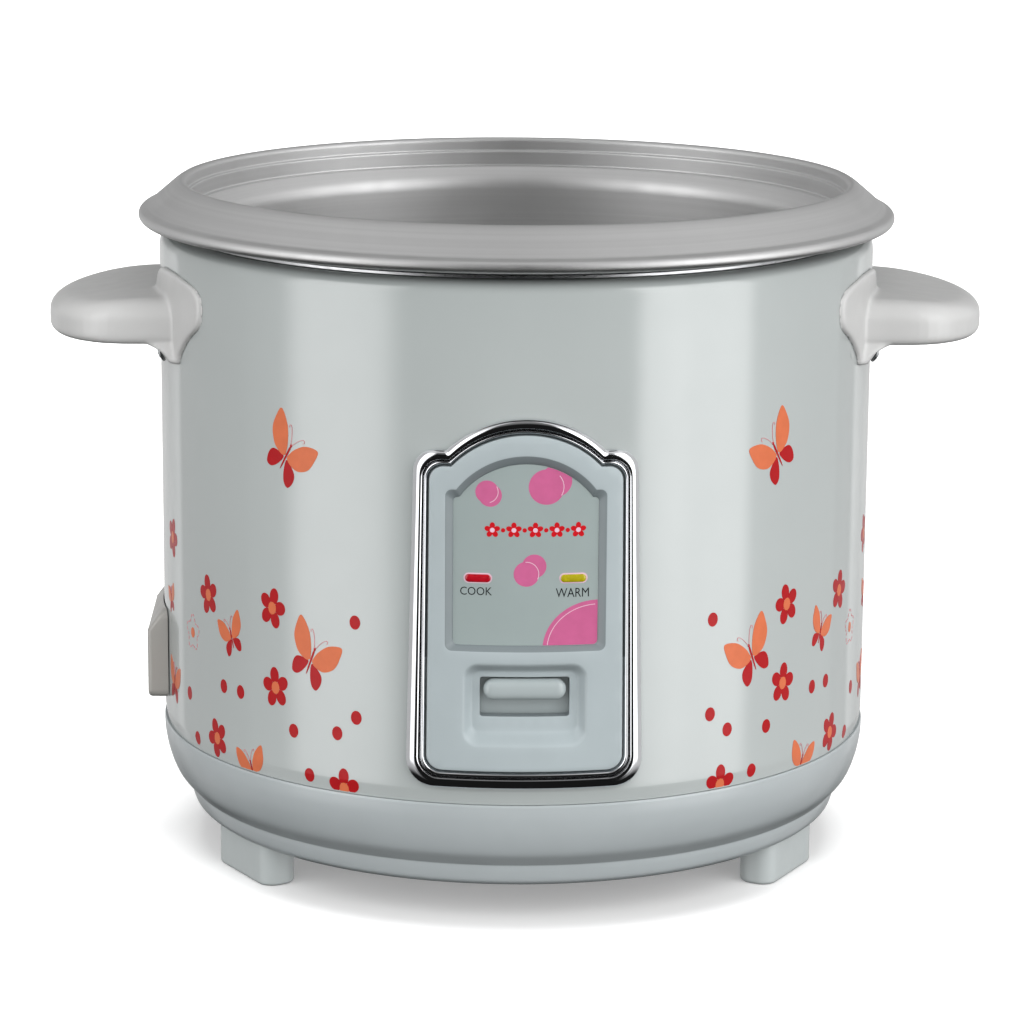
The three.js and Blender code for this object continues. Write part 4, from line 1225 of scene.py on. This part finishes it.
def lettering(name, text, start, end, bottom, top):
    """A plain function word in thin letters, fitted to a width and a height."""
    curve = bpy.data.curves.new(f"{name}_letters", "FONT")
    curve.body = text
    curve.resolution_u = 3
    mesh = evaluated(linked(f"{name}_letters", curve))
    flat = [(v.co.x, v.co.y) for v in mesh.vertices]
    xs, ys = [p[0] for p in flat], [p[1] for p in flat]
    wide = (end - start) / (max(xs) - min(xs))
    tall = (top - bottom) / (max(ys) - min(ys))
    points = [(start + (x - min(xs)) * wide, bottom + (y - min(ys)) * tall) for x, y in flat]
    faces = [tuple(polygon.vertices) for polygon in mesh.polygons]
    solid = Solid()
    solid.slab(points, faces, from_front(LABEL_RADIUS + 0.03), from_front(LABEL_RADIUS + 0.005))
    add_solid(name, solid, "housing", "label_print", look=LABEL_DARK)


def lamp_lens(side, x):
    """A pill-shaped lens with a domed face."""
    node = f"{side}_lamp_lens"
    half, tall = 4, 1.25
    solid = Solid()
    levels = [(0, 120.2), (0, 120.9), (-0.1, 121.02), (-0.3, 121.14), (-0.65, 121.24)]
    steps = [(box_outline(half + by, LENS_Z - tall - by, LENS_Z + tall + by, tall + by - 0.02, x), radius)
             for by, radius in levels]
    solid.walls(steps)
    for outline, radius in (steps[0], steps[-1]):
        solid.fill([outline], from_front(radius), 1.2)
    add_solid(f"{node}_domed", solid, "housing", SLOT_OF[node], [node])


# ---- The switch --------------------------------------------------------------------------------


def lever_knob():
    """A bar with round ends, on a neck in front of the curved shield that closes the slot."""
    solid = Solid()
    half, tall, end = KNOB["half"], KNOB["half_height"], KNOB["end"]
    middle_y, deep = (KNOB["front"] + KNOB["back"]) / 2, (KNOB["back"] - KNOB["front"]) / 2
    stations = [(-half, 0)]
    angles = [math.radians(9 * k) for k in range(1, 11)]
    stations += [(-half + end * (1 - math.cos(a)), math.sin(a)) for a in angles]
    stations += [(x, size) for x, size in ((-x, size) for x, size in reversed(stations))]
    loops = []
    for x, size in stations:
        if size == 0:
            loops.append([(x, middle_y, KNOB["z"])])
            continue
        section = []
        for c, s in arc(0, 0, 1, 0, 360, 48)[:-1]:
            fullness = (abs(c) ** 2.8 + abs(s) ** 2.8) ** (-1 / 2.8)
            reach = fullness * size
            section.append((x, middle_y - deep * c * reach, KNOB["z"] + tall * s * reach))
        loops.append(section)
    solid.skins(loops)
    neck = [(-10, 80), (10, 80), (10, 84), (-10, 84)]
    numbered = solid.skins([[(x, y, z) for x, z in neck] for y in (-116.4, -113.1)])
    solid.faces += [tuple(numbered[0]), tuple(reversed(numbered[-1]))]
    curved = []
    for radius in (SHIELD["inner"], SHIELD["outer"]):
        curved.append([(PIVOT_Y - c, PIVOT_Z + s) for c, s in
                       arc(0, 0, radius, SHIELD["start"], SHIELD["end"], 24)])
    outline = curved[0] + curved[1][::-1]
    sides = [solid.loop([(x, y, z) for y, z in outline]) for x in (-SHIELD["half"], SHIELD["half"])]
    solid.skin(sides[0], sides[1])
    count = len(curved[0])
    for side in sides:
        for i in range(count - 1):
            solid.faces.append((side[i], side[i + 1], side[-i - 2], side[-i - 1]))
    add_solid("lever_knob_bar", solid, "lever", "knob_plastic", ["lever_knob"])


# ---- The power inlet ---------------------------------------------------------------------------


def inlet_housing():
    """The inlet's moulding: a block with a sloping top, the connector's socket and two screw seats."""
    face, slope_z, top, bottom, half = low("inlet_housing")[X], 77, 84, 53.4, 25.6
    solid = Solid()

    def front(depth):
        def place(y, z):
            flat = face + max(z - slope_z, 0) * 5.5 / (top - slope_z) + depth
            return (min(flat, -math.sqrt((SHELL_RADIUS + GAP) ** 2 - y ** 2)), y, z)
        return place

    def outline(by):
        return box_outline(half - by, bottom + by, top - by, 3 - by)
    levels = [(0, 30), (0, 1.5), (0.18, 0.75), (0.7, 0.2), (1.4, 0)]
    solid.skins([[front(depth)(y, z) for y, z in outline(by)] for by, depth in levels])
    solid.fill([outline(0)], front(30), 3)
    socket = dict(half=12.25, low=55.75, high=72.25, corner=3)
    screws_y = (-INLET_SCREW["y"], INLET_SCREW["y"])
    seats = [ellipse(y, INLET_SCREW["z"], 3.4, 3.4, 32) for y in screws_y]
    rim = box_outline(**grown(socket, 0.5))
    solid.fill([outline(1.4), rim, *seats], front(0), 3)

    def sunk(y, z, depth):
        return (face + depth, y, z)
    walls = [(0.5, 0), (0.12, 0.1), (0, 0.5), (0, 12.4)]
    solid.skins([[sunk(y, z, depth) for y, z in box_outline(**grown(socket, by))] for by, depth in walls])
    well = box_outline(**socket)
    solid.fill([well], lambda y, z: sunk(y, z, 12.4), 3)
    for seat in seats:
        solid.skins([[sunk(a, z, depth) for a, z in seat] for depth in (0, 1.1)])
        solid.fill([seat], lambda a, z: sunk(a, z, 1.1), 3)
    add_solid("inlet_moulding", solid, "housing", "inlet_plastic", ["inlet_housing"])


# ---- The printed pattern on the drum -----------------------------------------------------------


def placed(outline, x, z, size, tilt, side):
    """A drawing scaled, tilted clockwise, stretched upwards, mirrored by side and moved into place."""
    turn = math.radians(-tilt)
    points = []
    for u, v in outline:
        across = size * (u * math.cos(turn) - v * math.sin(turn))
        up = size * (u * math.sin(turn) + v * math.cos(turn))
        points.append((x + side * across, z + STRETCH * up))
    return points


def rectangle(left, low, right, high):
    return [(left, low), (right, low), (right, high), (left, high)]


def mirrored_outline(outline):
    return [(-u, v) for u, v in outline]


def butterfly_drawing():
    """Wings, body and antennae of one butterfly about its middle, by ink and layer."""
    upper = spline([(0.7, 0.4), (1.9, 3.6), (5.0, 7.6), (9.9, 9.9), (10.6, 6.2), (9.8, 2.2), (6.4, -1.0),
                    (2.4, -1.5), (0.7, -0.7)], 6, closed=True)
    lower = spline([(0.8, -1.4), (3.6, -1.6), (6.3, -2.9), (7.0, -5.4), (6.0, -8.0), (3.6, -7.6),
                    (1.6, -4.8)], 6, closed=True)
    body = spline([(0, 3.4), (0.36, 2.4), (0.34, -0.8), (0.24, -4.2), (0, -5.6), (-0.24, -4.2),
                   (-0.34, -0.8), (-0.36, 2.4)], 4, closed=True)
    head = ellipse(0, 3.5, 0.5, 0.48, 18)
    feeler = spline([(0.2, 3.6), (1.2, 5.8), (2.4, 7.7), (3.5, 8.6), (4.1, 8.1), (3.7, 7.5)], 6)
    feeler = ribbon(feeler, 0.15)
    return [
        ("red", 0.05, lower), ("red", 0.05, mirrored_outline(lower)),
        ("orange", 0.09, upper), ("orange", 0.09, mirrored_outline(upper)),
        ("red", 0.13, body), ("red", 0.13, head),
        ("pink", 0.13, feeler), ("pink", 0.13, mirrored_outline(feeler)),
    ]


def flower_drawing():
    shapes = flower(0, 0, 5.6)
    return [("red", 0.05, petal) for petal in shapes[:-1]] + [("orange", 0.09, shapes[-1])]


def dashed_flower_drawing():
    """An outline flower of short dashes round a centre."""
    shapes = []
    count = 20
    for k in range(count):
        start, end = 360 * k / count, 360 * (k + 0.6) / count
        dash = []
        for i in range(5):
            angle = math.radians(start + (end - start) * i / 4)
            radius = 5.0 + 0.9 * math.cos(5 * (angle - math.pi / 2))
            dash.append((radius * math.cos(angle), radius * math.sin(angle)))
        shapes.append(("pink", 0.05, ribbon(dash, 0.42)))
    return shapes + [("orange", 0.05, ellipse(0, 0, 1.7, 1.7, 20))]


def dot_drawing():
    return [("red", 0.05, ellipse(0, 0, 1.9, 1.9, 22))]


def printed_pattern():
    """Butterflies, flowers and dots, mirrored about the panel and repeated on the drum's back."""
    butterfly, blossom = butterfly_drawing(), flower_drawing()
    dashed, dot = dashed_flower_drawing(), dot_drawing()
    placements = [
        (butterfly, 40.4, 151.8, 0.88, -36), (butterfly, 35.9, 86.7, 0.86, -26),
        (butterfly, 53.2, 87.8, 0.6, 22), (butterfly, 48.6, 45.2, 0.62, 12),
        (blossom, 59.7, 98.8, 1, 12), (blossom, 43.6, 100.8, 1, -14),
        (blossom, 43.0, 74.7, 1, 8), (blossom, 57.4, 51.4, 1, 24), (blossom, 30.2, 45.4, 1, 0),
        (blossom, 74.9, 111.5, 1, -20), (dashed, 65.4, 83.5, 0.85, 0),
        (butterfly, 74.8, 61.5, 0.62, -8), (butterfly, 76.4, 89.5, 0.42, 15)]
    placements += [(dot, degrees, z, 1, 0) for degrees, z in (
        (28.2, 100.6), (51, 70), (55.4, 70), (67, 62), (28, 69.5), (31.3, 63.5), (39.4, 61.7), (36.4, 48),
        (64, 48.1))]
    inks = {"red": Solid(), "orange": Solid(), "pink": Solid()}
    edge_z = SEAM_Z + SEAM_GAP + 0.4
    for drawing, degrees, z, size, tilt in placements:
        for middle in (PATTERN_CENTRE, PATTERN_CENTRE + 180):
            for side in (-1, 1):
                along = math.radians(middle + side * degrees) * SHELL_RADIUS
                limit = rectangle(along - 30, edge_z, along + 30, z + 30)
                above_hem = rectangle(along - 30, HEM_Z, along + 30, z + 30)
                for ink, lift, outline in drawing:
                    shape = placed(outline, along, z, size, tilt, side)
                    lowest, highest = min(v for _, v in shape), max(v for _, v in shape)
                    if highest < edge_z + 0.3:
                        continue
                    outlines = [shape]
                    if lowest < edge_z:
                        outlines.append(limit)
                    if lowest < HEM_Z < highest:
                        outlines.append(above_hem)
                    points, faces = triangulated(outlines, in_any([shape], limit), 3)
                    inks[ink].slab(points, faces, printed_on_drum(lift), printed_on_drum(-0.03))
    for name, look in (("red", INK_RED), ("orange", INK_ORANGE), ("pink", INK_PINK)):
        add_solid(f"pattern_{name}", inks[name], "housing", "label_print", look=look, crease=60)


# ---- Everything inside -------------------------------------------------------------------------


def finished_copy(node):
    """The CAD piece with its sharp edges broken and its round faces smooth."""
    mesh = frame["nodes"][node].data.copy()
    work = bmesh.new()
    work.from_mesh(mesh)
    bmesh.ops.remove_doubles(work, verts=work.verts, dist=1e-6)
    bmesh.ops.dissolve_limit(work, angle_limit=math.radians(0.5), verts=work.verts, edges=work.edges)
    sharp = [edge for edge in work.edges
             if len(edge.link_faces) == 2 and edge.calc_face_angle(0) > math.radians(32)]
    bmesh.ops.bevel(work, geom=sharp, offset=0.18 * MM, segments=2, profile=0.6, affect="EDGES",
                    clamp_overlap=True)
    bmesh.ops.triangulate(work, faces=[face for face in work.faces if len(face.verts) > 4])
    work.to_mesh(mesh)
    work.free()
    for name in [attribute.name for attribute in mesh.attributes if attribute.name == "custom_normal"]:
        mesh.attributes.remove(mesh.attributes[name])
    bodies = frame["record"]["behaviour"]["bodies"]
    body = next(name for name, members in bodies.items() if node in members)
    return add_piece(f"{node}_finished", smoothed(mesh), body, SLOT_OF[node], [node])


def inner_works():
    """The pieces whose CAD shape is right. The magnet's spring gets a mesh of its own."""
    shown = {name for obj in bpy.data.objects for name in obj.get("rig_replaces", [])}
    copies = {node: finished_copy(node) for node in sorted(set(frame["nodes"]) - shown)}
    fixed_end, free_end = high("magnet_spring")[Z], low("magnet_spring")[Z]
    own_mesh(copies["magnet_spring"])


# ---- Floor, light and camera -------------------------------------------------------------------


def sun(name, energy, degrees):
    """Light from a far disc that is so many degrees wide."""
    lamp = bpy.data.lights.new(name, "SUN")
    lamp.energy = energy
    lamp.angle = math.radians(degrees)
    return linked(name, lamp)


def floor():
    """Plain paper with a light of its own, 28 metres wide."""
    mesh = bpy.data.meshes.new("floor")
    mesh.from_pydata([(x, y, 0) for x, y in rectangle(-14, -14, 14, 14)], [], [(0, 1, 2, 3)])
    look = Look("floor_paper", (0.86, 0.86, 0.86), 0.9, specular=0.0)
    look.mottled(look.noise(60, 3), 0.004)
    look.set(Emission_Color=(1, 1, 1, 1), Emission_Strength=0.22)
    mesh.materials.append(look.material)
    obj = linked("floor", mesh)
    obj.visible_glossy = False
    obj.visible_diffuse = False
    lit = bpy.data.collections.new("floor_only")
    lit.objects.link(obj)
    sun("floor_light", 3.4, 42).light_linking.receiver_collection = lit


class Sky:
    """Studio light as brightness over directions: the azimuth runs from the front towards +X."""

    def __init__(self, everywhere):
        world = bpy.data.worlds.new("studio")
        world.use_nodes = True
        bpy.context.scene.world = world
        self.tree = world.node_tree
        direction = new_node(self.tree, "ShaderNodeTexCoord").outputs["Generated"]
        split = new_node(self.tree, "ShaderNodeSeparateXYZ", {0: direction}).outputs
        self.up = split["Z"]
        towards = self.math("MULTIPLY", split["Y"], -1)
        self.azimuth = self.math("MULTIPLY", self.math("ARCTAN2", split["X"], towards), 180 / math.pi)
        self.total = self.math("ADD", self.math("MULTIPLY", self.up, 0), everywhere)

    def math(self, operation, a, b):
        node = new_node(self.tree, "ShaderNodeMath", operation=operation)
        for socket, value in zip(node.inputs, (a, b)):
            if isinstance(value, (int, float)):
                socket.default_value = value
            else:
                self.tree.links.new(value, socket)
        return node.outputs[0]

    def step(self, value, start, end):
        """Rises smoothly from 0 at start to 1 at end; falls if end is below start."""
        first = 0 if start < end else 1
        return new_node(self.tree, "ShaderNodeMapRange", {"Value": value}, {
            "From Min": min(start, end), "From Max": max(start, end), "To Min": first,
            "To Max": 1 - first}, interpolation_type="SMOOTHSTEP").outputs["Result"]

    def add(self, strength, *shares):
        """Light of a strength where every share is 1."""
        value = self.math("MULTIPLY", shares[0], strength)
        for share in shares[1:]:
            value = self.math("MULTIPLY", value, share)
        self.total = self.math("ADD", self.total, value)

    def softbox(self, strength, left, right, soft, low, high):
        """An upright softbox between two azimuths, from one height to another (sines of elevation)."""
        self.add(strength, self.step(self.azimuth, left - soft, left + soft),
                 self.step(self.azimuth, right + soft, right - soft),
                 self.step(self.up, low - 0.1, low + 0.1), self.step(self.up, high + 0.12, high - 0.12))

    def finish(self):
        """The camera sees plain white; everything else sees the studio."""
        background = self.tree.nodes["Background"]
        background.inputs["Color"].default_value = (1, 1, 1, 1)
        seen = new_node(self.tree, "ShaderNodeLightPath").outputs["Is Camera Ray"]
        plain = self.math("MULTIPLY", seen, 1.2)
        rest = self.math("MULTIPLY", self.total, self.math("SUBTRACT", 1, seen))
        self.tree.links.new(self.math("ADD", plain, rest), background.inputs["Strength"])


def studio():
    """Broad light from both sides, softboxes in front, a banded back and a weak overhead."""
    sky = Sky(0.01)
    for side in (-1, 1):
        away = sky.math("MULTIPLY", sky.azimuth, side)
        sky.add(0.57 + 0.05 * side, sky.step(away, 36, 60), sky.step(away, 152, 134),
                sky.step(sky.up, -0.66, -0.42))
        sky.add(0.75, sky.step(away, 137, 142), sky.step(sky.up, -0.5, -0.2), sky.step(sky.up, 0.1, -0.08))
        sky.add(0.3, sky.step(away, 137, 142), sky.step(sky.up, -0.08, 0.1), sky.step(sky.up, 0.95, 0.6))
    for strength, left, right, soft in ((1.95, -77, -41, 6), (2.1, 38, 78, 4), (0.6, 37, 54, 4)):
        sky.softbox(strength, left, right, soft, -0.33, 0.75)
    sky.add(0.26, sky.step(sky.up, 0.6, 0.95))
    sky.finish()
    fill = sun("front_fill", 2.55, 70)
    fill.rotation_euler = (math.radians(72), 0, math.radians(6))
    fill.visible_glossy = False


def camera():
    data = bpy.data.cameras.new("camera")
    data.lens = CAMERA["lens"]
    data.sensor_width = 36
    data.clip_end = 100
    obj = linked("camera", data)
    turns = ((CAMERA["heading"], "Z"), (90 - CAMERA["down"], "X"), (CAMERA["roll"], "Z"))
    obj.matrix_world = Matrix.Translation(Vector(CAMERA["place"]) * MM)
    for degrees, axis in turns:
        obj.matrix_world = obj.matrix_world @ Matrix.Rotation(math.radians(degrees), 4, axis)
    bpy.context.scene.camera = obj
    bpy.context.scene.view_settings.view_transform = "Standard"
    bpy.context.scene.view_settings.look = "None"


# ---- Building everything -----------------------------------------------------------------------


for build in (camera, studio, floor, cooking_pan, inner_liner, heating_plate, sensor_cap, body_shell,
              base_bowl):
    build()
for foot_name, foot_degrees in FOOT_ANGLES.items():
    foot(foot_name, foot_degrees)
for build in (screws, handles, panel_frame, fascia, label, label_artwork):
    build()
lettering("word_cook", "COOK", -20.4, -10.5, 112.5, 115.1)
lettering("word_warm", "WARM", 9.4, 19.8, 111.9, 114.8)
lamp_lens("cook", -LENS_X)
lamp_lens("warm", LENS_X)
lever_knob()
inlet_housing()
printed_pattern()
inner_works()
